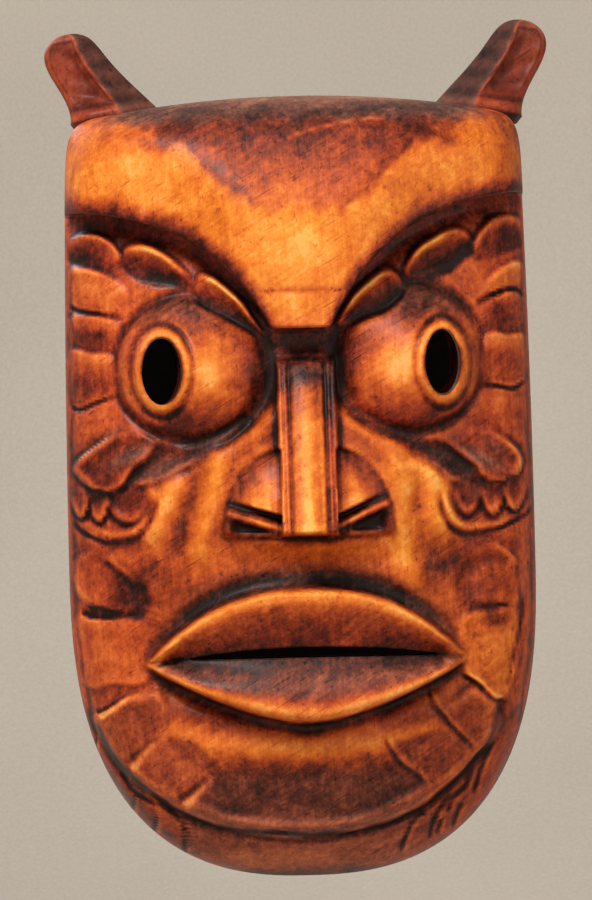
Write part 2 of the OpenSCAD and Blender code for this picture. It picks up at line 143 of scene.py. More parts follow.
def level(x, z):
    """1 on the outline of the body, 0 in its middle."""
    up = (np.abs(x) / half_w(np.maximum(z, Z_MID))) ** 24 + (
        np.maximum(0, z - Z_MID) / (top_z(x) - Z_MID)) ** 24
    low = (np.abs(x) / HALF) ** 2.5 + np.clip((Z_MID - z) / CHIN, 0, 2) ** 2.7
    return np.where(z >= Z_MID, up ** (1 / 24), low ** 0.4)


def in_level(x, z):
    """The same for the hollow behind."""
    w, r = HALF - RIM_WALL, RIM_WALL
    up = (np.abs(x) / (w - 2.2 * ((z - Z_MID) / 160) ** 2)) ** 9 + (
        np.maximum(0, z - Z_MID) / (178 - r * 1.15 - 5 * (x / 78) ** 2)) ** 9
    low = (np.abs(x) / w) ** 2.5 + np.clip((Z_MID - z) / (CHIN - r * 1.1), 0, 2) ** 2.6
    return np.where(z >= Z_MID, up ** (1 / 9), low ** 0.4)


def edge_from(cx, cz, dx, dz, lev=level):
    """How far from a point to an outline, in a direction."""
    lo, hi = np.zeros(np.shape(cx)), np.full(np.shape(cx), 260.0)
    for _ in range(34):
        m = (lo + hi) / 2
        z = cz + m * dz
        out = (lev(cx + m * dx, z) > 1) | (z > BODY_TOP)
        lo, hi = np.where(out, lo, m), np.where(out, m, hi)
    return lo


def cheek(x, z):
    up = roll(x / half_w(z), 2.4) * roll(np.maximum(0, z - Z_MID) / (top_z(x) - Z_MID), 2.6)
    return WALL + (FACE - WALL) * np.where(z >= Z_MID, up, roll(level(x, z), 2.4))


def peak(x):
    return np.minimum(105 + 0.97 * np.maximum(0, np.abs(x - 1.75) - 17.75), 130)


def brow(x, z):
    side = BROW - 0.42 * np.maximum(0, np.where(x < 1.5, -16 - x, x - 19.5)) + 0.4 * bell(x - 1.5, 17)
    top = BROW - 0.44 * np.maximum(0, z - 105)
    cap = WALL + (BROW - WALL + 7) * roll(x / half_w(z), 3) * roll((z - Z_MID) / (top_z(x) - Z_MID), 4)
    return soft_min(soft_min(side, top, 4.5), cap, 6)


def brow_z(x):
    """The lower edge of the brow, a wide V with a level bottom over the nose."""
    return 60.5 + np.where(x < 0, 49, 53.5) * (1 - np.exp(-np.maximum(0, np.abs(x - 0.5) - 11) / 26))


NOSE_X, NOSE_TOP, NOSE_END = 2.0, 47.0, -17.0
EYES = {-1: dict(ball=(-42, 46.5, 28.5, 27), tip=(-52.4, 45.6), hole=(7.8, 12.9), lean=(-3, 0)),
        1: dict(ball=(42.5, 49, 27.5, 28), tip=(53.9, 46.4), hole=(7.0, 12.6), lean=(0, 4))}


def lip_top(x):
    return -38.5 - 23.5 * (np.abs(x) / 57) ** 2.4


def lip_end(x):
    return -88.5 + 20.5 * (np.abs(x) / 58) ** 1.6


SLIT = (-45.0, 50.0)


def slit_z(x):
    return -61.8 - 2.2 * (x / 50) ** 2


def slit_gap(x):
    u = (x - sum(SLIT) / 2) / (SLIT[1] - SLIT[0]) * 2
    return 0.25 + 1.9 * np.maximum(0, 1 - np.abs(u) ** 2) ** 0.8


def chin_row(x):
    return -75 - 60 * np.sqrt(1 - (x / 80) ** 2)


# ---------------------------------------------------------- the carving plan
# Columns stand at fixed widths; rows follow the lines of the face, so the
# brow, nose, lips and chin have clean edges.
CORE_X, CORE_Z, SIDE_Z = 74, 134, 60
COL_AT, COL_N = [-CORE_X, -16, -10.5, 14.5, 20, CORE_X], [70, 6, 54, 6, 66]
ROW_N = [48, 30, 2, 28, 30, 2, 124, 6, 46, 26]
# The seven rows under the brow: how far above its lower edge, and how much brow
BROW_ROW_Z = [-1.6, 0.6, 2.0, 1.8, 0.6, 0.1, 1.2]
BROW_SHARE = [0, -0.06, -0.05, 0.42, 0.8, 0.93, 1]
col_cum, row_cum = np.cumsum([0] + COL_N), np.cumsum([0] + ROW_N)
NC, NR = int(col_cum[-1]), int(row_cum[-1])
R_SLIT, R_BROW = int(row_cum[2]), int(row_cum[7])


def row_keys(x):
    m, g, v = slit_z(x), slit_gap(x), brow_z(x)
    return np.array([chin_row(x), np.minimum(lip_end(x), m - 9) - 1.5, m - g, m + g,
                     np.maximum(lip_top(x), m + 9) + 1, 0 * x + NOSE_END - 1.2, 0 * x + NOSE_END + 0.4,
                     v - 1.6, v + 1.2, np.maximum(peak(x), v + 6), 0 * x + CORE_Z])


def col_x(i):
    return np.interp(i, col_cum, COL_AT)


def even_col(x):
    """The even column nearest to x, which the hollow has too."""
    return int(round(np.interp(x, COL_AT, col_cum) / 2) * 2)


def row_z(j, x):
    k = np.clip(np.searchsorted(row_cum, j, side="right") - 1, 0, len(ROW_N) - 1)
    t = (j - row_cum[k]) / np.array(ROW_N)[k]
    keys = row_keys(x)
    z0 = np.take_along_axis(keys, k[None], 0)[0]
    z1 = np.take_along_axis(keys, k[None] + 1, 0)[0]
    return mix(z0, z1, t)


def around(k):
    """Column and row of the k-th point round the border of the core."""
    k = k % (2 * (NC + NR))
    if k < NC:
        return k, 0
    if k < NC + NR:
        return NC, k - NC
    if k < 2 * NC + NR:
        return 2 * NC + NR - k, NR
    return 0, 2 * NC + 2 * NR - k


HOLE_N, BLOCK_N = 10, 24


def core_plan():
    """X and Z of every core point, drawn into rings round the pierced eyes."""
    jj, ii = np.meshgrid(np.arange(NR + 1.0), np.arange(NC + 1.0), indexing="ij")
    x = col_x(ii)
    z = row_z(jj, x)
    for r, off in enumerate(BROW_ROW_Z):
        z[R_BROW + r] = brow_z(x[R_BROW + r]) + off
    for e in EYES.values():
        tx, tz = e["tip"]
        ic = even_col(tx)
        col = row_z(np.arange(NR + 1.0), np.full(NR + 1, tx))
        jc = int(round(float(np.argmin(np.abs(col - tz))) / 2) * 2)
        e["at"] = (ic, jc)
        for dj in range(-BLOCK_N, BLOCK_N + 1):
            for di in range(-BLOCK_N, BLOCK_N + 1):
                m = max(abs(di), abs(dj))
                if m == 0:
                    x[jc, ic], z[jc, ic] = tx, tz
                    continue
                if m == BLOCK_N:
                    continue
                s = BLOCK_N / m
                bx = float(col_x(ic + di * s))
                bz = float(row_z(np.array(jc + dj * s), np.array(bx)))
                q = (math.pi / 4) * (dj / di if abs(di) >= abs(dj) else di / dj)
                cs, sn = math.cos(q), math.sin(q)
                u, w = (math.copysign(cs, di), math.copysign(1, di) * sn) if abs(di) >= abs(dj) \
                    else (math.copysign(1, dj) * sn, math.copysign(cs, dj))
                hx, hz = e["hole"]
                if m <= HOLE_N:
                    px, pz = tx + hx * u * m / HOLE_N, tz + hz * w * m / HOLE_N
                else:
                    t = (m - HOLE_N) / (BLOCK_N - HOLE_N)
                    px, pz = mix(tx + hx * u, bx, t), mix(tz + hz * w, bz, t)
                    push = 1.6 * t * (1 - t) * (1 - t)
                    px, pz = px + push * u, pz + push * w
                x[jc + dj, ic + di], z[jc + dj, ic + di] = px, pz
    return x, z


def side_z(z):
    """Where a row of the core meets the side: rows spread toward the crown."""
    return np.where(z < SIDE_Z, z, z + 6 * (np.maximum(0, z - SIDE_Z) / (CORE_Z - SIDE_Z)) ** 3)


RINGS = 16


def even_rows(x, z):
    """The same points without the fold under the brow."""
    z = z.copy()
    for k in range(7):
        z[R_BROW + k] = brow_z(x[R_BROW + k]) + mix(BROW_ROW_Z[0], BROW_ROW_Z[-1], k / 6)
    return z


def ring_plan(cx, cz):
    """Rings of points from the border of the core out to the edge of the body."""
    total = 2 * (NC + NR)
    ij = np.array([around(k) for k in range(total)])
    px, pz = cx[ij[:, 1], ij[:, 0]], cz[ij[:, 1], ij[:, 0]]
    zs = side_z(even_rows(cx, cz)[ij[:, 1], ij[:, 0]])
    sx = np.sign(px) * edge_from(0 * px, zs, 1 + 0 * px, 0 * px)
    corner = edge_from(np.array(0.0), np.array(140.0), np.array(1.0), np.array(0.0))
    tx = px / CORE_X * corner
    tz = SIDE_Z + edge_from(tx, SIDE_Z + 0 * px, 0 * px, 1 + 0 * px)
    low = float(chin_row(CORE_X))
    ln = np.maximum(1e-6, np.hypot(px, pz - low))
    dx, dz = px / ln, (pz - low) / ln
    rr = edge_from(0 * px, low + 0 * px, dx, dz)
    top, bottom = ij[:, 1] == NR, ij[:, 1] == 0
    ex = np.where(top, tx, np.where(bottom, rr * dx, sx))
    ez = np.where(top, tz, np.where(bottom, low + rr * dz, zs))
    t = 1 - (1 - np.arange(1, RINGS + 1) / RINGS) ** 1.6
    t[-1] = 1
    return mix(px, ex, t[:, None]), mix(pz, ez, t[:, None]), ij


# ------------------------------------------------------------------ carving
class Carving:
    """Heights and colour over a set of points, built up one cut at a time: stained colour and dust, with
    painted light and shade among them.
    """

    def __init__(self, x, z):
        # a hand never follows the drawn line exactly
        self.x = x + 0.45 * np.sin(0.13 * z + 0.06 * x) + 0.25 * np.sin(0.34 * z - 0.21 * x + 1)
        self.z = z + 0.40 * np.sin(0.12 * x - 0.05 * z) + 0.25 * np.sin(0.37 * x + 0.19 * z + 2)
        self.h = np.zeros(x.shape)
        self.tone = np.full(x.shape, 0.52)
        self.red = np.full(x.shape, 0.35)
        self.ash = np.zeros(x.shape)
        self.edge = sm(1.0, 0.965, level(x, z))

    def near(self, pts, pad):
        """Which points lie in the box of a shape, with room round it."""
        lo, hi = np.min(pts, 0) - pad, np.max(pts, 0) + pad
        return (self.x > lo[0]) & (self.x < hi[0]) & (self.z > lo[1]) & (self.z < hi[1])

    def paint(self, pick, m, tone=None, red=None, ash=None):
        """Moves the tone, redness and dust-and-sheen of some points toward new values, by the share m."""
        for name, v in (("tone", tone), ("red", red), ("ash", ash)):
            if v is not None:
                a = getattr(self, name)
                a[pick] = mix(a[pick], v, m)

    def petal(self, pts, toward, hi, lo, tones, soft=1.5, rim=0.0, red=None, ash=None, bowl=0.0, shade=1.0):
        """A lobe laid like a shingle: it stands up on one side and sinks in on the other."""
        loop = curve(pts, 5, True)
        pick = self.near(loop, 6)
        x, z = self.x[pick], self.z[pick]
        sd = inside_of(x, z, loop)
        c = loop.mean(0)
        d = np.array([math.cos(math.radians(toward)), math.sin(math.radians(toward))])
        p = (loop - c) @ d
        s = np.clip(((x - c[0]) * d[0] + (z - c[1]) * d[1] - p.min()) / np.ptp(p), 0, 1)
        m = sm(soft, -soft * 0.5, sd)
        val = mix(lo, hi, s) + (rim * bell(sd + 1.2, 1.0)) * (0.3 + 0.7 * s) + bowl * sm(0, -4, sd)
        self.h[pick] = mix(self.h[pick], val * self.edge[pick], m)
        # a lighter line just inside the raised edge: painted highlight
        t = mix(tones[0], tones[1], s ** 1.3) + (0.05 + 0.08 * rim) * bell(sd + 0.9, 0.9) * s
        self.paint(pick, m, t, red, ash)
        # painted shadow: darker, and a little lower, just outside the lobe's raised side; shade scales it
        edge_shadow = bell(np.maximum(0, sd - 0.7), 1.4) * (1 - m) * (0.25 + 0.75 * sm(0.2, 0.7, s))
        edge_shadow = edge_shadow * self.edge[pick] * shade
        self.tone[pick] -= 0.2 * edge_shadow
        self.h[pick] -= 0.7 * edge_shadow

    def groove(self, pts, depth, width, dark=0.3, ends=0.12, light=0.0):
        """A cut along a line, tapering at its ends, darkened along it with stained colour and painted shade;
        light paints a painted highlight on the lip on its left.
        """
        line = curve(pts, 6)
        pick = self.near(line, width * 3.5)
        d, t, side = reach(self.x[pick], self.z[pick], line)
        taper = sm(0, ends, t) * sm(1, 1 - ends, t)
        self.h[pick] -= depth * bell(d, width) * taper * self.edge[pick]
        self.tone[pick] -= dark * bell(d, width * 1.1) * taper
        if light:
            k = bell(d * side - width * 1.8, width * 0.9) * taper
            self.tone[pick] += light * k
            self.h[pick] += 0.3 * depth * k * self.edge[pick]

    def ridge(self, pts, height, width, light=0.2, ends=0.2, red=None):
        """A raised line, fading at its ends; light lightens it as a painted highlight."""
        line = curve(pts, 6)
        pick = self.near(line, width * 3)
        d, t, _ = reach(self.x[pick], self.z[pick], line)
        taper = sm(0, ends, t) * sm(1, 1 - ends, t)
        g = bell(d, width) * taper
        self.h[pick] += height * g * self.edge[pick]
        self.tone[pick] += light * g
        if red is not None:
            self.red[pick] = mix(self.red[pick], red, g)

    def wedge(self, a, b, width, deep, light=0.4):
        """A slanting chisel cut, broad at a and fine at b, with a painted highlight on its right face and
        painted shade along the deep line.
        """
        line = np.array([a, b], float)
        pick = self.near(line, width * 2)
        d, t, side = reach(self.x[pick], self.z[pick], line)
        w = width * (1 - 0.85 * t)
        u = -d * side / w
        ends = sm(0, 0.08, t) * sm(1, 0.9, t)
        face = sm(-0.1, 0.15, u) * sm(1.1, 0.8, u) * ends
        cut = deep * (1 - 0.6 * t) * np.clip(1 - u, 0, 1) * sm(-0.5, 0.0, u)
        self.h[pick] -= cut * ends * self.edge[pick]
        self.tone[pick] += light * face
        self.red[pick] = mix(self.red[pick], 0.45, face)
        self.tone[pick] -= 0.34 * bell(u + 0.3, 0.34) * ends

    def wash(self, cx, cz, rx, rz, turn=0, tone=None, red=None, ash=None, add=0.0):
        """A soft patch of colour, rubbed in an oval."""
        a = math.radians(turn)
        dx, dz = self.x - cx, self.z - cz
        u, v = dx * math.cos(a) + dz * math.sin(a), -dx * math.sin(a) + dz * math.cos(a)
        g = np.exp(-((u / rx) ** 2 + (v / rz) ** 2))
        self.tone += add * g
        self.paint(slice(None), g, tone, red, ash)


def cone_share(x, z, e):
    """0 at an eye's tip and 1 on the rim of its ball."""
    bx, bz, rx, rz = e["ball"]
    tx, tz = e["tip"]
    ax, az = (tx - bx) / rx, (tz - bz) / rz
    dx, dz = (x - tx) / rx, (z - tz) / rz
    dd = np.maximum(1e-9, dx * dx + dz * dz)
    b = ax * dx + az * dz
    return dd / (-b + np.sqrt(b * b + dd * (1 - ax * ax - az * az)))


def carve_eyes(c, x, z):
    """Swelling cones with a raised ring round each pierced tip."""
    for s, e in EYES.items():
        k = cone_share(x, z, e)
        tx, tz = e["tip"]
        hx, hz = e["hole"]
        side = np.sign(x) == s
        body = np.where(k < 1, 15.2 * (1 - np.minimum(1, k) ** 1.22), 0)
        body += np.where(k < 1, 1.6 * sm(1.0, 0.86, k), 0) - 1.3 * bell(k - 1.06, 0.06)
        r = np.hypot((x - tx) / (hx + 3.3), (z - tz) / (hz + 3.7))
        body += 1.3 * bell(r - 0.86, 0.1) - 1.0 * bell(r - 1.07, 0.07) + 0.4 * bell(r - 1.2, 0.08)
        c.h = np.where(side & (k < 1.25), mix(c.h, body * c.edge, side * sm(1.22, 1.1, k)), c.h)
        # pale toward the nose, dark over the top and under
        ball = side * sm(1.02, 0.98, k)
        up, inward = (z - tz) / 27, -(x - tx) * s / 30
        tone = 0.48 + 0.42 * bell(inward - 0.56, 0.3) * bell(up + 0.02, 0.36) \
            - 0.20 * sm(0.4, 0.95, up) - 0.22 * sm(-0.4, -0.95, up) - 0.14 * sm(0.95, 1.2, inward)
        c.tone = mix(c.tone, tone, ball)
        c.red = mix(c.red, 0.4 + 0.4 * sm(-0.2, -0.9, up) + 0.3 * sm(0.8, 1.2, inward), ball)
        c.ash = mix(c.ash, 0.45 * sm(0.5, 0.95, up), ball)
        c.tone = mix(c.tone, 0.72, side * bell(r - 0.84, 0.13) * 0.9)
        c.red = mix(c.red, 0.3, side * bell(r - 0.84, 0.16))
        # dark groove outside the ring and round the foot of the ball, stained colour with painted shade;
        # darker toward the hole's lip, painted shade going into the hole
        c.tone -= side * 0.24 * bell(r - 1.06, 0.06)
        c.tone = mix(c.tone, 0.1, side * sm(0.715, 0.68, r))
        c.tone -= side * 0.16 * bell(k - 1.05, 0.06)


def carve_leaves(c):
    """The three leaves over each eye and the feathers beside it."""
    for toward, hi, tones, pts in (
            (60, 5.6, (0.2, 0.66), [(-38.5, 77), (-36.5, 80.8), (-31, 79), (-24.5, 74), (-18.5, 67.5),
                    (-14, 60), (-18, 60.5), (-25, 63.5), (-32, 67), (-37.5, 71.5)]),
            (75, 4.6, (0.08, 0.6), [(-66, 88), (-64.5, 92.8), (-58, 93.5), (-51, 90.5), (-45, 86),
                    (-40.6, 80.4), (-42.5, 77.5), (-49, 78), (-56, 80), (-63, 83)]),
            (60, 3.2, (0.22, 0.5), [(-87.5, 89), (-87, 95.5), (-81, 98), (-74, 96.8), (-68.5, 93),
                    (-66.8, 88.5), (-72, 85.5), (-80, 86)]),
            (122, 5.8, (0.2, 0.7), [(15.2, 61), (17, 66.8), (22, 73.6), (28, 79), (33.5, 81.6),
                    (38.4, 80), (39.8, 76), (37.5, 71), (31, 66.5), (23, 63)]),
            (118, 4.6, (0.1, 0.64), [(41, 80.5), (43.8, 87), (49, 92.2), (56, 96.4), (62.5, 97),
                    (66.3, 93.5), (66, 88), (60, 82.5), (52, 79), (45, 78.4)]),
            (125, 3.6, (0.22, 0.56), [(67.5, 88), (69, 94.6), (75, 100), (82, 101.8), (87.5, 98.5),
                    (87.8, 92), (80, 88), (73, 86.5)])):
        c.petal(pts, toward, hi, -1.8, tones, rim=0.5, red=0.75, bowl=-1.2)
    c.ridge([(-65, 91.5), (-57, 92.4), (-50, 89), (-43.4, 82)], 0.4, 1.5, 0.14, red=0.4)
    c.ridge([(-36, 79.6), (-30, 77.4), (-22, 70.6), (-16, 62.6)], 0.3, 0.8, 0.2, red=0.2)
    c.ridge([(17.6, 66), (24, 74), (31, 79.6)], 0.3, 1.1, 0.16, red=0.2)
    c.ridge([(43.8, 85), (50, 91.4), (58, 95.4)], 0.4, 1.5, 0.14, red=0.3)
    for toward, hi, lo, tones, pts in (
            (95, 2.6, -0.2, (0.54, 0.68),
                [(-88, 84), (-78, 84.5), (-68, 79), (-64, 72), (-69, 69.3), (-78, 70), (-87, 73)]),
            (90, 1.6, 0.0, (0.36, 0.54),
                [(-88, 66.4), (-76, 66.4), (-69.5, 65), (-69, 58), (-70, 53), (-80, 53), (-88, 54)]),
            (90, 1.8, -1.0, (0.40, 0.62), [(-88, 53), (-78, 53), (-71, 52), (-70, 45), (-70, 38.5),
                    (-77, 36), (-84, 33.5), (-88, 36)]),
            (90, 2.6, 0.0, (0.54, 0.7),
                [(70, 72.5), (76, 80), (83, 83.5), (88, 83), (88, 76), (82, 76), (75, 72.5), (70, 70.6)]),
            (80, 1.6, -0.4, (0.40, 0.52),
                [(70.5, 67.5), (76, 70.5), (83, 73), (88, 71.5), (88, 58), (80, 57), (71, 57)]),
            (90, 1.8, -1.0, (0.46, 0.62),
                [(70.5, 56), (80, 56), (88, 56), (88, 41), (84, 40.6), (77, 38.6), (70, 38.6)])):
        c.petal(pts, toward, hi, lo, tones, soft=1.6, red=0.6, shade=0.4)
    for pts in (
            [(-88, 71.5), (-83, 68.6), (-75, 67.8), (-67, 67.5)],
            [(-88, 33), (-84, 32.2), (-77, 34.6), (-69.5, 37.2)],
            [(67.5, 68.2), (73, 70.4), (80, 73.8), (85, 73.6), (88, 71)],
            [(69, 37.2), (76, 37), (82, 36.6), (87, 39)]):
        c.groove(pts, 1.8, 0.8, 0.36, 0.1, light=0.1)
    for cx, cz, rx, rz, add in ((-78, 60, 6, 3, -0.22), (-78, 42, 6, 4, -0.24), (-79, 50.5, 6, 2, 0.1),
            (-80, 78, 5, 3, 0.08), (-70, 83, 7, 3, -0.2), (78, 64.5, 4.5, 4, -0.24), (79, 46, 6, 4, -0.1),
            (78, 53, 7, 2.5, 0.12), (78, 31.5, 7, 3, 0.14), (68, 22, 8, 5, -0.12), (-70, 90, 3, 2, 0.12),
            (-84, 95, 3, 1.6, 0.12), (80, 95, 6, 3, -0.1)):
        c.wash(cx, cz, rx, rz, add=add)


def carve_lids(c):
    """Long leaves under each eye, a broad one outside them, and scallops below."""
    c.petal([(-20, 26), (-28, 22.5), (-37, 18.4), (-46, 16.6), (-56, 17), (-63, 11), (-67.4, 5),
            (-66, 0.8), (-57, 3.4), (-47, 8), (-38, 13.4), (-28, 19.6)], -62, 1.6, -1.6, (0.24, 0.3),
        soft=1.0, rim=0.3, red=0.55, bowl=-1.4)
    c.petal([(19, 29), (27, 25.4), (36, 20.8), (45, 17), (53, 15.6), (60, 12), (64.8, 6), (63, 0.6),
            (56, 2), (49.5, 7.4), (42, 13), (32, 20.4)], -118, 1.6, -1.6, (0.22, 0.28), soft=1.0, rim=0.3,
        red=0.6, bowl=-1.4)
    # the grey in these strips under the eyes is painted sheen
    c.wash(-53, 8.4, 11, 2.6, 24, tone=0.34, ash=0.9)
    c.wash(-38, 16, 9, 2.0, 26, tone=0.26, red=0.6, ash=0.3)
    c.wash(53, 8.4, 9, 2.6, -36, tone=0.3, ash=0.75)
    c.petal([(-86.5, 10.5), (-80, 16.6), (-72, 21.6), (-64, 22.4), (-56.4, 18.6), (-58.5, 14),
            (-63.5, 9.6), (-66.8, 5.6), (-68.5, 2.4), (-72.5, 0.2), (-77.5, 0.4), (-81.5, 3.5),
            (-84.5, 7)], 235, 4.2, 0.6, (0.34, 0.4), rim=0.8, red=0.62, bowl=-1.0)
    c.petal([(56, 15.5), (62, 19), (70, 20.8), (76.5, 18.4), (82, 13.5), (84, 8), (82, 3.4), (77, 0.4),
            (72, 0.8), (68.5, 3.2), (66.5, 6.8), (61, 11)], -50, 4.2, 0.6, (0.3, 0.4), rim=0.8, red=0.62,
        bowl=-1.0)
    # the grey in these strips beside the eyes is painted sheen
    for cx, cz, rx, rz, turn, tone, ash in ((-66, 13.2, 9, 2.4, 26, 0.44, 0.95),
            (-77, 19.6, 10, 1.6, 32, 0.45, 0.6), (68, 9.8, 9, 2.4, -26, 0.42, 0.9),
            (74, 14.4, 5, 2, -36, 0.36, 0.5)):
        c.wash(cx, cz, rx, rz, turn, tone=tone, ash=ash)
    c.wash(-76, 8, 5, 4, tone=0.34, red=0.85)
    for pts, w in (
            ([(-86, 11), (-80, 16.8), (-72.5, 21.6)], 0.7),
            ([(-82.5, 4.6), (-77.5, 0.8), (-72, 0.8), (-68, 4), (-65, 8)], 0.6),
            ([(-66, 1.4), (-57, 3.8), (-47, 8.4), (-38, 13.8)], 0.6),
            ([(77, 17.6), (82, 12.6), (83.4, 7), (81, 2.6)], 0.7),
            ([(66, 7), (69.6, 2.6), (76, 0.8)], 0.7),
            ([(62.6, 1.2), (56, 2.6), (49.5, 8), (42, 13.4)], 0.6)):
        c.ridge(pts, 0.4, w, 0.2, red=0.4)
    for pts in (
            [(-74, -1.5), (-72.6, -8), (-68, -11.8), (-62.4, -10), (-59, -4.5), (-61, -0.6), (-67, 0.6)],
            [(-81.6, 0), (-80.6, -7), (-77, -11.3), (-74, -7), (-73.6, -1), (-77, 0.6)],
            [(-88, 1), (-87.4, -6), (-84.4, -9.4), (-82, -5.4), (-82, 0.6), (-85, 2)],
            [(57.6, 0.5), (58.4, -6.6), (62.6, -11.4), (67, -7), (67.4, -0.5), (62.4, 1)],
            [(67.8, 0), (68.8, -7), (72.6, -11.8), (76.2, -7), (76.6, 0), (72, 1)],
            [(77, 1.4), (77.2, -6), (80.6, -11), (84.4, -6), (84.8, 1.4), (81, 3)]):
        c.petal(pts, 270, 2.8, 0.0, (0.3, 0.46), soft=0.8, rim=0.5, red=0.6, bowl=-1.0, shade=1.5)
    for pts, w in (
            ([(-79, -13.6), (-73, -16.6), (-66.5, -16), (-61.5, -11.6), (-58.2, -4)], 1.0),
            ([(53.4, 1), (54.6, -7), (58.4, -13.4), (64.6, -16.4), (73, -16), (82, -12.4)], 1.0)):
        c.ridge(pts, 1.0, w, 0.16, red=0.4)
    for pts, w in (
            ([(-88.5, -10), (-84, -15.4), (-76, -19.2), (-68, -19.4), (-61.5, -16.4), (-57, -9),
                    (-55.6, -2)], 1.0),
            ([(52, -1), (53.2, -11), (57.6, -16.8), (66, -18.8), (77, -16.4), (85, -13), (88, -8)], 1.0)):
        c.groove(pts, 1.6, w, 0.34, 0.1)


def carve_cheeks(c):
    """Ridges from the nose to the mouth, and the panels down each side."""
    c.ridge([(-43, 10), (-49, 2), (-53.4, -7), (-56.4, -15), (-58, -24)], 3.4, 6.0, 0.2, 0.3, red=0.35)
    c.ridge([(40, 15), (47, 6), (51, -4), (51, -14), (45, -23)], 3.6, 7.0, 0.28, 0.3, red=0.2)
    c.ridge([(-29.5, 21), (-33, 8), (-36, -6), (-39, -19), (-42, -34)], 2.8, 5.4, 0.2, 0.25, red=0.2)
    c.ridge([(29, 25), (35, 10), (37, -6), (36, -20), (40, -34), (46, -43)], 2.8, 6.0, 0.22, 0.25, red=0.2)
    c.groove([(-40, 8), (-43.4, -5), (-46, -16), (-50, -25)], 1.0, 3.2, 0.14)
    c.groove([(43, 6), (44, -2), (43.6, -12)], 0.8, 3.0, 0.06)
    for toward, hi, lo, tones, red, pts in (
            (200, 2.0, -2.0, (0.34, 0.58), 0.8, [(-87.5, -26), (-79, -23), (-73, -24.6), (-66, -31.5),
                    (-60.5, -38), (-61, -46.4), (-72, -45), (-82, -42.4), (-87.5, -36)]),
            (-15, 2.2, -1.4, (0.42, 0.56), 0.55, [(62, -29.6), (67, -25.4), (72.5, -24.4), (78.5, -27.4),
                    (82.5, -34), (83, -42), (79, -47), (69, -46), (60.5, -47.4), (58, -38)]),
            (270, 1.0, 0.8, (0.60, 0.58), 0.75, [(-87.5, -50), (-80, -49), (-62, -48.4), (-60.5, -60),
                    (-61, -71.4), (-73, -72.5), (-86, -72.5)]),
            (270, 1.4, 0.8, (0.60, 0.66), 0.35, [(61, -50), (70, -49.4), (79, -48.6), (81, -58),
                    (80, -70), (76.5, -80.6), (71, -81.8), (65, -76.4), (60, -70), (58.6, -58)])):
        c.petal(pts, toward, hi, lo, tones, soft=2.0, red=red, bowl=-0.6, shade=0.35)
    c.ridge([(-75, -24.6), (-70, -29), (-63.5, -35)], 0.8, 1.0, 0.3, red=0.5)
    c.groove([(-76, -26), (-70.6, -31), (-64, -37.4)], 0.5, 1.2, 0.2)
    c.ridge([(61.5, -29.4), (67, -25.4), (73, -24), (79, -27.4), (83, -34)], 0.8, 1.0, 0.12)
    # patches lighter and darker; the dark one at (-63, -34), under the left cheek ridge, is painted shadow
    for cx, cz, rx, rz, add in ((-63, -34, 7, 6, -0.2), (-57, -27, 7, 4, -0.12), (-79, -34, 5, 8, 0.12),
            (-66, -42, 5, 3, -0.1), (-72, -20.6, 12, 1.6, -0.14), (53, -30, 9, 4.6, -0.3),
            (72, -52, 4.5, 3.2, -0.24), (48, -38, 5, 4, -0.1), (66, -22, 14, 2, -0.1),
            (-62, -60, 3, 9, -0.1), (-76, -58, 6, 7, 0.08), (68, -62, 7, 6, 0.08)):
        c.wash(cx, cz, rx, rz, add=add)
    c.petal([(-84, -47.4), (-81.4, -43.2), (-76, -44.2), (-68, -46), (-61.5, -46.8), (-70, -47.6)], 90,
        -1.4, -2.6, (0.22, 0.34), soft=0.7, shade=0.3)
    c.groove([(-85, -47.2), (-78, -47.8), (-70, -47.6), (-61, -46.8)], 1.4, 0.6, 0.4, 0.15)
    c.groove([(60.4, -48.6), (64, -48), (69, -47.4), (79.6, -45.8)], 1.6, 0.7, 0.42, 0.15)
    c.groove([(61, -47), (66, -46.6), (72, -48.6)], 0.8, 0.6, 0.3, 0.2)
    # scored lines on the lower right panel
    for k in range(7):
        a = -57 - 2.6 * k
        c.groove([(63 + 0.6 * k, a + 1 + k % 3), (67 + 0.3 * k, a - 1.6 - k % 2),
                (73 + 0.4 * k, a + 3.4)], 0.2, 0.5, 0.12, 0.3)


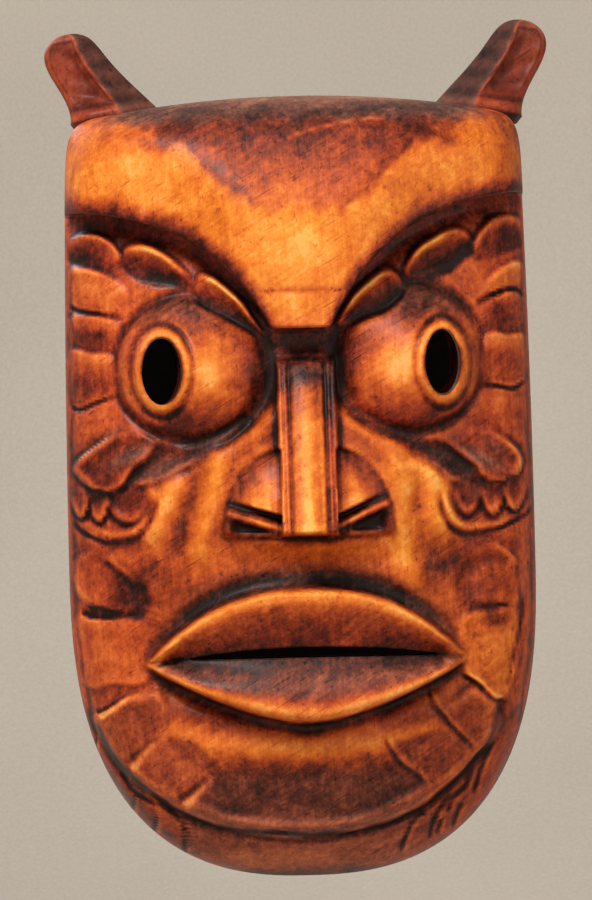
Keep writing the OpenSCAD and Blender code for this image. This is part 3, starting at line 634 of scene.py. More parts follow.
def carve_mouth(c, x, z):
    """Two full lips with a groove above and below."""
    top, end, mid = lip_top(x), lip_end(x), slit_z(x)
    on = sm(62, 53, np.abs(x + 0.5))
    far = np.abs(x) / 60
    up = sm(top + 1.8, top - 0.6, z) * (z > mid)
    lo = sm(end - 1.4, end + 1.0, z) * (z <= mid)
    q = np.clip((z - mid) / np.maximum(1, top - mid), 0, 1.3)
    p = np.clip((mid - z) / np.maximum(1, mid - end), 0, 1.3)
    rise_u = 9.0 + 8.4 * sm(0.0, 0.95, q) ** 0.9
    rise_l = 8.4 + 9.2 * sm(0.0, 0.84, p) ** 0.85 - 2.2 * sm(0.86, 1.06, p)
    flat = 1 - 0.34 * far ** 2
    c.h = mix(c.h, rise_u * flat, on * up)
    c.h = mix(c.h, rise_l * flat, on * lo)
    c.h -= on * (2.0 * bell(z - top - 5.4, 3.6) + 2.0 * bell(z - end + 3.0, 2.6))
    tone_u = 0.34 + 0.12 * sm(0.2, 0.6, q) + 0.21 * bell(q - 0.93, 0.17) - 0.16 * sm(0.22, 0.0, q)
    tone_l = 0.25 + 0.08 * sm(0.1, 0.5, p) + 0.34 * bell(p - 0.84, 0.13) - 0.1 * sm(0.1, 0.0, p)
    c.paint(slice(None), on * up, tone_u, 0.35 + 0.4 * (1 - q))
    # the grey on the lower lip's upper face and in the band over the upper lip is painted sheen
    c.paint(slice(None), on * lo, tone_l, 0.4, 0.5 * sm(0.78, 0.5, p))
    over = sm(0.8, 3, z - top) * bell(z - top - 4.6, 4.4) * sm(60, 40, np.abs(x))
    c.paint(slice(None), over, 0.26, 0.4, 0.8)
    c.tone = mix(c.tone, 0.28, on * 0.8 * bell(z - end + 2.2, 2.2))
    c.wash(-57, -65, 4, 4, tone=0.70, red=0.15)
    c.wash(55, -65, 4, 3, tone=0.6, red=0.4)
    c.groove([(-46, -63.6), (-52, -64.8), (-58, -66.4)], 1.0, 0.7, 0.3)
    # the space under the nose, lighter, with a thin line of painted shade right under the nose's foot
    c.tone += 0.1 * bell(x - 1, 30) * sm(-18, -20, z) * sm(-36, -30, z)
    c.wash(2, -18.9, 22, 1.0, tone=0.12)


def carve_chin(c, x, z):
    """The chin plate with its wedge cuts, and the border band under it."""
    end = lip_end(x)
    rx = np.where(x < -3, 79, 76)
    e = np.hypot((x + 3) / rx, np.minimum(0, z + 75) / 58)
    on = sm(-76, -88, z) * (1 - sm(0.5, -1.5, end - 1.5 - z))
    plate = 6.0 * sm(1.015, 0.985, e)
    swell = 0.62 + 0.3 * bell(z + 100, 8) + 0.38 * bell(e - 0.93, 0.03)
    c.h += on * (plate * swell - 1.6 * bell(e - 1.03, 0.018))
    mid = sm(56, 34, np.abs(x + 2))
    # a lighter band across the chin plate: painted highlight
    c.tone = mix(c.tone, 0.34 + 0.38 * bell(z + 98.5 - 0.003 * x * x, 5.6),
        on * sm(1.0, 0.97, e) * (0.45 + 0.55 * mid))
    c.red = mix(c.red, mix(0.55, 0.25, bell(z + 99, 6)), on * mid)
    c.ash = mix(c.ash, 0.4 * sm(-104, -112, z), on * mid)
    c.wash(-2, -126, 36, 2.6, tone=0.48, ash=0.5, red=0.4)
    c.groove([(-62, -114), (-50, -122.5), (-38, -127), (-24, -130.4), (-4, -131.8), (16, -131.4),
            (32, -128.6), (46, -122), (60, -110)], 2.0, 0.9, 0.34, 0.08)
    c.ridge([(-38, -130.6), (-24, -134.6), (-4, -136), (16, -135.4), (30, -132)], 0.7, 0.7, 0.16, red=0.4)
    band = sm(1.0, 1.05, e) * sm(-84, -92, z)
    c.tone = mix(c.tone, 0.40, band * 0.8)
    c.red = mix(c.red, 0.6, band)
    c.wash(-4, -142, 42, 4, tone=0.56, red=0.3)
    c.wash(0, -150, 70, 3, tone=0.14)
    for toward, pts in (
            (215, [(-80, -85), (-73, -80.4), (-66, -77), (-58, -77), (-54, -85), (-57, -93), (-62, -98.4),
                    (-68, -104), (-74, -98.6), (-79, -91)]),
            (235, [(-66.5, -105), (-61, -99.6), (-56, -95.4), (-46, -96), (-38, -103), (-38, -110),
                    (-47.6, -117.8), (-56, -114), (-62, -110)]),
            (-35, [(50.5, -88), (56, -83), (63, -79), (70, -84.6), (72, -90), (69, -97), (63.5, -101.4),
                    (57, -95)]),
            (-60, [(31.5, -99), (38, -96.6), (48, -94.6), (55, -96.8), (61, -102), (58, -108),
                    (51, -113.5), (44.4, -114), (37, -107)])):
        c.petal(pts, toward, 5.0, 3.6, (0.46, 0.42), soft=2.6, red=0.5, ash=0.12, bowl=-0.4, shade=0.15)
    c.wedge((-80.5, -84.6), (-65, -75), 3.0, 2.0, 0.36)
    c.wedge((-69.6, -104.6), (-57, -93.4), 4.0, 2.6, 0.42)
    c.wedge((-49.5, -118.6), (-36, -107.6), 4.6, 2.8, 0.44)
    for pts in (
            [(45, -75.5), (47, -83), (51, -89), (57, -95.4), (64.6, -103)],
            [(28.6, -93), (30.6, -99), (35.6, -105.6), (41, -110.4), (44.6, -115)],
            [(58.4, -72.4), (65, -77), (71.4, -82.4), (76, -82)]):
        c.groove(pts, 1.5, 0.75, 0.3, 0.2, light=0.28)
    for pts in (
            [(-80.6, -86), (-77, -95), (-70, -105), (-60, -114.6), (-50, -121)],
            [(72.6, -84), (70, -94), (63.6, -105), (54, -114.6), (45, -120.4)]):
        c.groove(pts, 1.6, 0.9, 0.26, 0.12)
    # the border band: short slanting cuts
    for a, b, w in (((-68.6, -126), (-66.4, -116), 2.6), ((-59.6, -132), (-57.6, -121.6), 2.6),
            ((-47.4, -139), (-49.4, -126.6), 2.8), ((-81.2, -104), (-80.2, -91), 2.2)):
        c.wedge(a, b, w, 0.6, 0.22)
    for pts in (
            [(-72, -107), (-67, -115), (-58, -121)],
            [(-62, -114.6), (-54, -121.4), (-48.6, -128), (-46, -138)],
            [(70.4, -98), (66.4, -108), (62.6, -119)],
            [(63.4, -107.6), (60.6, -114), (54.6, -120), (51.4, -126.4)],
            [(54.6, -117.6), (50, -123), (46.4, -129), (45.4, -137)],
            [(44, -124.6), (40, -127.4), (36.4, -133), (34.4, -142)],
            [(58.6, -121), (56, -127), (54.6, -132)],
            [(49.8, -127.6), (48, -134)]):
        c.groove(pts, 1.2, 0.95, 0.22, 0.15, light=0.12)


def carve_nose(c, x, z):
    """A flat fluted ridge, the saddle over it and two scooped wings."""
    u = x - NOSE_X
    au = np.abs(u)
    down = np.clip((NOSE_TOP + 16 - z) / (NOSE_TOP + 16 - NOSE_END), 0, 1)
    rise = mix(FACE - 3, FACE + 26, down ** 0.86) - 1.0 * bell(z - NOSE_TOP - 1, 5)
    flutes = -1.3 * bell(au - 6.9, 0.8) - 0.9 * bell(au - 9.2, 0.5)
    flutes += 0.2 * bell(au - 8.1, 0.6)
    flutes -= 1.1 * np.minimum(1, au / 6) ** 2
    on = sm(11.6, 10.4, au) * sm(NOSE_TOP + 3, NOSE_TOP - 0.5, z) * sm(NOSE_END - 1.0, NOSE_END + 0.3, z)
    c.h = mix(c.h, rise + flutes - cheek(x, z), on)
    # lighter down the middle, a painted highlight strongest low on the nose; dark flutes; lighter left edge,
    # darker right side
    tone = 0.60 + 0.2 * bell(u + 0.5, 2.6) + 0.12 * bell(u + 9.8, 0.9)
    tone -= 0.3 * bell(au - 6.9, 0.8)
    tone -= 0.24 * bell(au - 9.2, 0.5)
    tone -= 0.18 * sm(4.5, 8, u)
    tone += 0.12 * bell(z + 6, 9) * bell(u + 0.5, 2.2) - 0.22 * sm(20, 42, z) + 0.1 * bell(u - 5.4, 1.0)
    c.paint(slice(None), on, tone, 0.2 + 0.4 * sm(5, 9, au))
    # painted shade along the foot of the nose's sides
    c.tone -= 0.34 * bell(au - 12.2, 1.2) * (1 - on) * sm(NOSE_END - 2, NOSE_END + 2, z) * sm(58, 44, z)
    # dark saddle between the eyes, greyed by wear, with painted shade under the brow's overhang
    c.paint(slice(None), bell(x - 1, 12) * sm(37, 43, z), 0.2, 0.5, 0.55 * sm(50, 44, z))
    c.h -= 1.6 * bell(x - 1, 14) * bell(z - 54, 4)
    c.ridge([(-8, 49.6), (2, 50.4), (10, 50)], 0.6, 0.6, 0.16)
    # painted shade down both sides of the bridge
    c.tone -= 0.24 * bell(np.abs(x - 1) - 12.5, 2.5) * sm(30, 40, z) * sm(62, 52, z)
    # nostril wings: a scooped fan, a lip under it and a slot under the lip; the slot's dark tone and a dark
    # line under the fan's edge are painted shade
    for s, w, slope, drop in ((-1, 32.6, 0.30, 6.2), (1, 32.0, 0.44, 5.4)):
        un = u * s
        qq = np.hypot((un - 9.5) / (w - 9.5), (z - NOSE_END) / 31.6)
        out = un > 10.6
        inn = sm(1.03, 0.985, qq) * out * sm(NOSE_END - 1.0, NOSE_END + 0.3, z)
        b = z + 9.6 - slope * (un - 11)
        fan = 11.5 - 6.0 * sm(0.35, 0.97, qq) + 1.2 * bell(qq - 0.35, 0.25)
        shelf = 8.6 - 2.6 * bell(b + 1.4, 1.6) + 1.0 * bell(b + drop - 0.7, 1.2) - 0.6 * sm(14, 30, un)
        slot = sm(-drop + 0.2, -drop - 2.2, b) * sm(11.5, 20, un) * sm(w - 1, w - 6.5, un)
        slot = slot * sm(NOSE_END - 0.5, NOSE_END + 1.4, z)
        h = mix(fan, shelf, sm(0.6, -1.2, b)) - 4.0 * slot
        c.h = mix(c.h, h, inn)
        tone = 0.74 - 0.34 * sm(0.6, 1.0, qq) - 0.14 * sm(13, 10.8, un)
        low = 0.3 + 0.36 * bell(b + drop - 0.9, 1.3) * (1 - 0.5 * sm(18, 31, un)) - 0.14 * bell(b + 1.2, 1.4)
        tone = mix(tone, low, sm(0.5, -0.5, b))
        tone = mix(tone, 0.1, slot)
        c.paint(slice(None), inn, tone, 0.35)
        lip = out * bell(qq - 1.06, 0.035) * sm(NOSE_END - 1, NOSE_END + 1, z)
        c.h += 0.5 * lip
        c.tone += 0.06 * lip - 0.12 * out * bell(qq - 1.0, 0.025) * sm(NOSE_END - 1, NOSE_END + 1, z)


def carve_low(x, z):
    """Everything below the brow: heights over the cheek dome, and the stain."""
    c = Carving(x, z)
    gap = brow_z(x) - z
    # a hollow under the brow's lower edge, with its tone darkened: painted shade under the overhang
    c.h -= 3.0 * bell(gap - 3.5, 5) * sm(9, 14, np.abs(x - 0.5)) * c.edge
    c.tone = mix(c.tone, 0.33, sm(14, 5, gap) * 0.85)
    c.red = mix(c.red, 0.7, sm(30, 10, gap))
    c.red = mix(c.red, 0.7, sm(52, 70, np.abs(x)) * sm(-100, -60, z))
    c.h += 9 * bell(x - NOSE_X, 30) * sm(50, 24, z) * sm(-30, -14, z)
    carve_eyes(c, x, z)
    carve_leaves(c)
    carve_cheeks(c)
    carve_lids(c)
    carve_chin(c, x, z)
    carve_mouth(c, x, z)
    # plain strip down each side
    lv = level(x, z)
    c.tone = mix(c.tone, 0.5, sm(0.962, 0.975, lv) * sm(-95, -80, z) * 0.8)
    for s in (-1, 1):
        c.groove([(s * 86, 100), (s * 87.2, 60), (s * 87.8, 20), (s * 88, -20), (s * 86.6, -56),
                (s * 84.4, -76), (s * 80.5, -94)], 0.7, 0.8, 0.12, 0.04)
    c.groove([(80.4, -28), (82.4, -40), (81.6, -56), (78.6, -70), (76.6, -80)], 1.3, 0.9, 0.2)
    c.wash(84, -40, 2, 30, add=0.1)
    c.tone -= 0.2 * sm(0.985, 1.0, lv) * sm(0, 60, x) * sm(60, 20, z)
    carve_nose(c, x, z)
    return c


def carve_brow(x, z):
    """Forehead planes: colour only, their shape is in brow(); a thin line near the top is a painted
    highlight.
    """
    v = brow_z(x)
    wob = 1.6 * np.sin(0.33 * x + 0.1 * z) + 1.1 * np.sin(0.71 * x - 0.4 * z)
    above = z - peak(x) + wob
    tone = 0.70 + 0.14 * bell(x - 2, 14) * bell(z - 92, 12)
    tone += 0.08 * bell(x + 60, 22) * bell(z - 122, 12)
    tone -= 0.1 * sm(66, 86, x)
    tone -= 0.06 * sm(-76, -88, x)
    crown = sm(-2, 5, above) * sm(64, 44, np.abs(x - 1.75))
    dusk = 0.56 - 0.2 * sm(114, 138, z) + 0.08 * bell(x, 18) * bell(z - 112, 8)
    tone = mix(tone, dusk, crown)
    red = mix(0.12, 0.5, crown)
    tone -= 0.16 * bell(above - 1.6, 2.2) * sm(66, 50, np.abs(x)) * sm(10, 20, np.abs(x - 1.75))
    tone -= 0.14 * sm(122, 142, z) * sm(30, 60, np.abs(x))
    ash = 0.85 * sm(137, 143, z + 0.5 * wob) * sm(80, 62, np.abs(x))
    tone = mix(tone, mix(0.3, 0.5, sm(144, 149, z)), sm(136, 142, z + 0.5 * wob) * sm(80, 62, np.abs(x)))
    tone -= 0.34 * bell(z - 74.6 + 0.012 * x, 0.6) * sm(20, 14, np.abs(x - 1))
    tone = mix(tone, 0.46, sm(v + 10 + wob, v + 3, z) * sm(6, 16, np.abs(x - 0.5)))
    tone = mix(tone, 0.24, sm(v + 5 + 0.5 * wob, v + 0.8, z) * sm(9, 14, np.abs(x - 0.5)))
    red = mix(red, 0.6, sm(v + 8, v, z))
    # a thin painted highlight line near the top of the forehead
    d = reach(x, z, curve([(-2, 133), (8, 136), (20, 138.6), (34, 140)]))[0]
    return tone + 0.26 * bell(d, 0.7), red, ash


def wear_and_painted_shade(x, z, h):
    """Wear brightens what stands proud; what lies low is darkened as painted shade, with stained colour
    pooling there too.
    """
    gain = 0
    for r, k, most in ((1.5, 0.11, 0.1), (4.2, 0.05, 0.13)):
        mean = sum(carve_low(x + r * dx, z + r * dz).h for dx, dz in ((1, 0), (-1, 0), (0, 1), (0, -1))) / 4
        gain = gain + np.clip((h - mean) * k, -most, 0.7 * most)
    return gain


def face(x, z, q):
    """Height, tone, redness and dust-and-sheen for points, q telling brow (1) from cheek (0); the tone holds
    painted light and shade as well.
    """
    zl = np.minimum(z, brow_z(x) + 3)
    c = carve_low(x, zl)
    # wear lightens what stands proud, painted shade darkens what lies low
    c.tone = c.tone + wear_and_painted_shade(x, zl, c.h)
    low = cheek(x, np.minimum(z, brow_z(x) + 1)) + c.h
    hi = brow(x, np.maximum(z, brow_z(x))) - 0.7 * bell(z - 74.6, 0.6) * sm(21, 14, np.abs(x))
    t, r, a = carve_brow(x, np.maximum(z, brow_z(x)))
    w = np.clip(q, 0, 1)
    dark = mix(c.tone, t, sm(0.75, 1.0, q))
    # the fold rows under the brow's ledge are set dark: painted shade
    dark = np.where((q > 0) & (q < 0.9), 0.2, dark)
    return mix(low, hi, q), np.clip(dark, 0.02, 1.05), mix(c.red, r, w), np.clip(mix(c.ash, a, w), 0, 1)


# ------------------------------------------------------------ building meshes
class Skin:
    """Points, faces and per-point colour values collected for one mesh."""

    def __init__(self):
        self.pts, self.col, self.faces, self.mats = [], [], [], []
        self.n = 0

    def add(self, xyz, col):
        xyz = np.asarray(xyz, float).reshape(-1, 3)
        self.pts.append(xyz)
        self.col.append(np.broadcast_to(np.asarray(col, float).reshape(-1, 3), xyz.shape))
        first = self.n
        self.n += len(xyz)
        return first

    def quads(self, q, mat=0):
        q = np.asarray(q).reshape(-1, np.asarray(q).shape[-1])
        self.faces += q.tolist()
        self.mats += [mat] * len(q)

    def strip(self, a, b, mat=0):
        """Joins two closed loops of the same count."""
        a, b = np.asarray(a), np.asarray(b)
        self.quads(np.stack([a, np.roll(a, -1), np.roll(b, -1), b], 1), mat)

    def halve(self, a, b, mat=0):
        """Joins a closed loop to one with half its points."""
        a, b = np.asarray(a), np.asarray(b)
        a0, a1, a2 = a[::2], a[1::2], np.roll(a[::2], -1)
        b1 = np.roll(b, -1)
        self.quads(np.stack([a0, a1, b], 1), mat)
        self.quads(np.stack([a1, b1, b], 1), mat)
        self.quads(np.stack([a1, a2, b1], 1), mat)

    def mesh(self, name, materials, sharp=None):
        me = bpy.data.meshes.new(name)
        pts = np.concatenate(self.pts) * MM
        me.from_pydata(pts.tolist(), [], self.faces)
        me.polygons.foreach_set("material_index", self.mats)
        me.polygons.foreach_set("use_smooth", [True] * len(self.faces))
        att = me.attributes.new("stain", "FLOAT_VECTOR", "POINT")
        att.data.foreach_set("vector", np.concatenate(self.col).ravel())
        for m in materials:
            me.materials.append(m)
        if sharp:
            me.set_sharp_from_angle(angle=math.radians(sharp))
        me.validate()
        ob = bpy.data.objects.new(name, me)
        bpy.context.scene.collection.objects.link(ob)
        return ob


def crisp_map():
    """1 where the core may be eased, 0 along the edges that stay sharp."""
    soft = np.ones((NR + 1, NC + 1))
    across = slice(None)
    left_of_nose, right_of_nose = slice(68, 80), slice(128, 138)
    under_brow, at_slit = slice(R_BROW - 2, R_BROW + 8), slice(R_SLIT - 2, R_SLIT + 5)
    nostril_rows, nostril_columns = slice(R_SLIT + 69, R_SLIT + 89), slice(66, 140)
    for rows, columns in ((across, left_of_nose), (across, right_of_nose),
                          (under_brow, across), (at_slit, across),
                          (nostril_rows, nostril_columns),
                          (0, across), (-1, across), (across, 0), (across, -1)):
        soft[rows, columns] = 0
    return soft


def eased(field, soft):
    """One pass of averaging over the core, as sanding would leave it."""
    g = field.reshape(soft.shape)
    beside = g[:-2, 1:-1] + g[2:, 1:-1] + g[1:-1, :-2] + g[1:-1, 2:]
    corners = g[:-2, :-2] + g[2:, 2:] + g[:-2, 2:] + g[2:, :-2]
    even = g.copy()
    even[1:-1, 1:-1] = (4 * g[1:-1, 1:-1] + 2 * beside + corners) / 16
    return mix(g, even, 0.85 * soft).ravel()


def open_cells():
    """Which cells of the core have wood: not the pierced eyes or the slit."""
    keep = np.ones((NR, NC), bool)
    for e in EYES.values():
        ic, jc = e["at"]
        keep[jc - HOLE_N:jc + HOLE_N, ic - HOLE_N:ic + HOLE_N] = False
    keep[R_SLIT:R_SLIT + 2, even_col(SLIT[0]):even_col(SLIT[1])] = False
    return keep


def add_cells(s, keep, first, columns, outward, mat=0):
    """The faces of a grid of points, for the cells that are kept."""
    jj, ii = np.nonzero(keep)
    a = first + jj * (columns + 1) + ii
    cells = np.stack([a, a + columns + 1, a + columns + 2, a + 1], 1)
    s.quads(cells[:, ::-1] if outward else cells, mat)


def add_front(s, x, z, rx, rz, ij, keep):
    """The carved face out to its edge; returns the last ring and its heights."""
    rows = np.ones(NR + 1)
    rows[:R_BROW] = 0
    rows[R_BROW:R_BROW + len(BROW_SHARE)] = BROW_SHARE
    share = np.concatenate([np.repeat(rows, NC + 1), np.tile(rows[ij[:, 1]], RINGS)])
    px = np.concatenate([x.ravel(), rx.ravel()])
    pz = np.concatenate([z.ravel(), rz.ravel()])
    fields = face(px, pz, share)
    soft = crisp_map()
    for field in fields:
        field[:x.size] = eased(field[:x.size], soft)
    height, *stain = fields
    s.add(np.stack([px, -height, pz], 1), np.stack(stain, 1))
    add_cells(s, keep, 0, NC, True)
    total = len(ij)
    ring = ij[:, 1] * (NC + 1) + ij[:, 0]
    for r in range(RINGS):
        wider = x.size + r * total + np.arange(total)
        s.strip(ring[::-1], wider[::-1])
        ring = wider
    return ring, height[-total:]


def add_side_wall(s, ring, ex, ez, edge_height):
    """The side wall, straight back from the edge of the face to the rim."""
    norm = np.stack([np.gradient(np.concatenate([ez[-1:], ez, ez[:1]]))[1:-1],
                     -np.gradient(np.concatenate([ex[-1:], ex, ex[:1]]))[1:-1]], 1)
    norm /= np.maximum(1e-6, np.linalg.norm(norm, axis=1))[:, None]
    steps, bevel = 10, 0.8
    for k in range(1, steps + 2):
        f = min(1, k / steps)
        last = k > steps
        y = 0 * ex if last else mix(-edge_height, -0.9, f)
        tool = np.sin(ez * 0.21 + 3 * np.sin(y * 0.09 + ex * 0.02)) * np.sin(math.pi * f)
        pull = (bevel if last else 0.0) + np.abs(0.22 * tool)
        tone = 0.52 + 0.06 * np.sin(ez * 0.05) - 0.12 * f - 0.1 * sm(60, 88, ex)
        ash = 0.75 * sm(140, 146, ez) * sm(70, 55, np.abs(ex)) + 0.15
        first = s.add(np.stack([ex - norm[:, 0] * pull, y, ez - norm[:, 1] * pull], 1),
                      np.stack([tone, 0.45 + 0 * ex, ash], 1))
        wider = first + np.arange(len(ring))
        s.strip(ring[::-1], wider[::-1])
        ring = wider
    return ring


def hollow(x, z):
    """Height of the hollow behind the face, with a gouge's scallops."""
    g = (FACE - FACE_WALL) * roll(in_level(x, z), 3)
    g += 9 * bell(x - NOSE_X, 13) * sm(34, 4, z) * sm(-24, -8, z)
    w = np.hypot(x * 0.16 + 1.3 * np.sin(z * 0.07), z * 0.09 + np.sin(x * 0.11))
    gouge = 0.55 * np.abs(np.sin(w * 3.1 + 0.8 * np.sin(z * 0.13 + x * 0.05)))
    return g - gouge * sm(1.0, 0.93, in_level(x, z))


def hollow_stain(x, z):
    return np.stack([0.46 + 0.05 * np.sin(x * 0.09 + z * 0.04), 0.5 + 0 * x, 0.15 + 0 * x], -1)


def add_hollow(s, x, z, ij, keep):
    """The hollow, on every second column and row; returns its core and its edge."""
    xi, zi = x[::2, ::2], even_rows(x, z)[::2, ::2]
    ln = np.maximum(1e-6, np.hypot(xi, zi))
    way = (0 * xi, 0 * zi, xi / ln, zi / ln)
    ratio = edge_from(*way, in_level) / edge_from(*way)
    inward = mix(1, ratio, sm(0.5, 0.95, np.clip(level(xi, zi), 1e-6, 1)))
    xi, zi = xi * inward, zi * inward
    for e in EYES.values():
        g = bell(np.hypot(xi - e["tip"][0], zi - e["tip"][1]), 22)
        xi, zi = xi + e["lean"][0] * g, zi + e["lean"][1] * g

    def add(px, y, pz, stain):
        return s.add(np.stack([px.ravel(), y.ravel(), pz.ravel()], 1), stain)

    core = add(xi, -hollow(xi, zi), zi, hollow_stain(xi.ravel(), zi.ravel()))
    add_cells(s, keep[::2, ::2] & keep[1::2, 1::2], core, NC // 2, False, 1)
    half = ij[::2] // 2
    ring = core + half[:, 1] * (NC // 2 + 1) + half[:, 0]
    bx, bz = xi[half[:, 1], half[:, 0]], zi[half[:, 1], half[:, 0]]
    ln = np.hypot(bx, bz)
    out = edge_from(0 * bx, 0 * bz, bx / ln, bz / ln, in_level)
    count, bevel = 8, 0.5
    for k in range(1, count + 2):
        if k <= count:
            f = mix(1, out / ln, 1 - (1 - k / count) ** 2)
            px, pz = bx * f, bz * f
            y = -hollow(px, pz) if k < count else np.full(px.shape, -1.2)
            first = add(px, y, pz, hollow_stain(px, pz))
        else:
            px, pz = bx * out / ln + np.sign(bx) * bevel, bz * out / ln + np.sign(bz) * bevel
            first = add(px, 0 * bx, pz, hollow_stain(bx, bz))
        wider = first + np.arange(len(half))
        s.strip(ring, wider, 1)
        ring = wider
    return core, ring


def add_tunnel(s, cells, core, steps, flare=0.0):
    """A way through the wood from a loop of the face to the same loop behind."""
    outer = np.array([j * (NC + 1) + i for i, j in cells])
    inner = np.array([core + (j // 2) * (NC // 2 + 1) + i // 2 for i, j in cells[::2]])
    pts = np.concatenate(s.pts)
    start, back = pts[outer], pts[inner]
    end = np.empty_like(start)
    end[::2], end[1::2] = back, (back + np.roll(back, -1, 0)) / 2
    mid = start.mean(0)
    ring = outer
    for k in range(1, steps):
        f = k / steps
        p = mix(start, end, f)
        tight = 1 - flare * math.sin(math.pi * min(1, f * 1.2))
        for axis in (0, 2):
            p[:, axis] = mid[axis] + (p[:, axis] - mid[axis]) * tight
        # the walls darken deeper in: painted shade inside the opening
        deeper = s.add(p, [0.24 * (1 - f) ** 4 + 0.02, 0.5, 0.1]) + np.arange(len(cells))
        s.strip(ring, deeper, 0 if k < 3 else 2)
        ring = deeper
    s.halve(ring, inner, 2)


def block_loop(i0, j0, i1, j1):
    """The grid points round a block of cells."""
    return [(i, j0) for i in range(i0, i1)] + [(i1, j) for j in range(j0, j1)] \
        + [(i, j1) for i in range(i1, i0, -1)] + [(i0, j) for j in range(j1, j0, -1)]


def build_shell(materials):
    """The carved body: front, side wall, hollow, flat rim and three openings."""
    s = Skin()
    x, z = core_plan()
    rx, rz, ij = ring_plan(x, z)
    keep = open_cells()
    ring, edge_height = add_front(s, x, z, rx, rz, ij, keep)
    ring = add_side_wall(s, ring, rx[-1], rz[-1], edge_height)
    core, inner = add_hollow(s, x, z, ij, keep)
    s.halve(ring[::-1], np.concatenate([inner[:1], inner[1:][::-1]]), 1)
    for e in EYES.values():
        i, j = e["at"]
        add_tunnel(s, block_loop(i - HOLE_N, j - HOLE_N, i + HOLE_N, j + HOLE_N), core, 8, 0.03)
    add_tunnel(s, block_loop(even_col(SLIT[0]), R_SLIT, even_col(SLIT[1]), R_SLIT + 2), core, 6)
    return s.mesh("carved_body", materials)


def cut_with(ob, cutter):
    """Takes one mesh out of another and keeps the result."""
    m = ob.modifiers.new("cut", "BOOLEAN")
    m.operation, m.solver, m.object = "DIFFERENCE", "EXACT", cutter
    bpy.context.view_layer.update()
    done = bpy.data.meshes.new_from_object(ob.evaluated_get(bpy.context.evaluated_depsgraph_get()))
    ob.modifiers.clear()
    old, ob.data = ob.data, done
    # the per-point colour values go over from the nearest old point
    was = np.empty(len(old.vertices) * 3)
    old.attributes["stain"].data.foreach_get("vector", was)
    was = was.reshape(-1, 3)
    tree = KDTree(len(old.vertices))
    for i, p in enumerate(old.vertices):
        tree.insert(p.co, i)
    tree.balance()
    near = [tree.find(p.co)[1] for p in done.vertices]
    stain = done.attributes.get("stain") or done.attributes.new("stain", "FLOAT_VECTOR", "POINT")
    stain.data.foreach_set("vector", was[near].ravel())
    bpy.data.meshes.remove(old)
    bpy.data.objects.remove(cutter)


TIE_D, NAIL_HOLE_D = 4.4, 1.7


def shell_cuts():
    """Tie holes, the hanger's recess with its pocket, and two nail holes."""
    bm = bmesh.new()

    def box(lo, hi):
        at = (Vector(lo) + Vector(hi)) / 2
        size = Vector(hi) - Vector(lo)
        bmesh.ops.create_cube(bm, matrix=Matrix.Translation(at * MM) @ Matrix.Diagonal((size * MM).to_4d()))

    def drill(at, way, d, length):
        turned = Vector(way).to_track_quat("Z", "Y").to_matrix().to_4x4()
        bmesh.ops.create_cone(bm, cap_ends=True, segments=40, radius1=d / 2 * MM, radius2=d / 2 * MM,
            depth=length * MM, matrix=Matrix.Translation(Vector(at) * MM) @ turned)

    for m in frame["record"].get("mounts", []):
        if m["name"].startswith("tie"):
            at, way = Vector(m["pos_m"]) / MM, Vector(m["axis"])
            drill(at, way, TIE_D, 39)
    lo, hi = (Vector(v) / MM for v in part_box("hanger_plate"))
    box((lo.x - 0.4, -2.4, lo.z - 0.3), (hi.x + 0.4, 1, hi.z + 0.3))
    box((-12, -7.4, lo.z + 0.6), (12, -1.4, hi.z - 1.4))
    mid = (lo.z + hi.z) / 2
    for s in (-1, 1):
        drill((s * (hi.x - 4), -8, mid), (0, 1, 0), NAIL_HOLE_D, 17)
    me = bpy.data.meshes.new("cuts")
    bm.to_mesh(me)
    ob = bpy.data.objects.new("cuts", me)
    bpy.context.scene.collection.objects.link(ob)
    return ob


SEAT = {-1: -68.0, 1: 72.0}
EAR_STRETCH = {-1: 0.955, 1: 1.02}
EAR_TALL, EAR_Y, EAR_SINK = 36.5, -34, 0.6


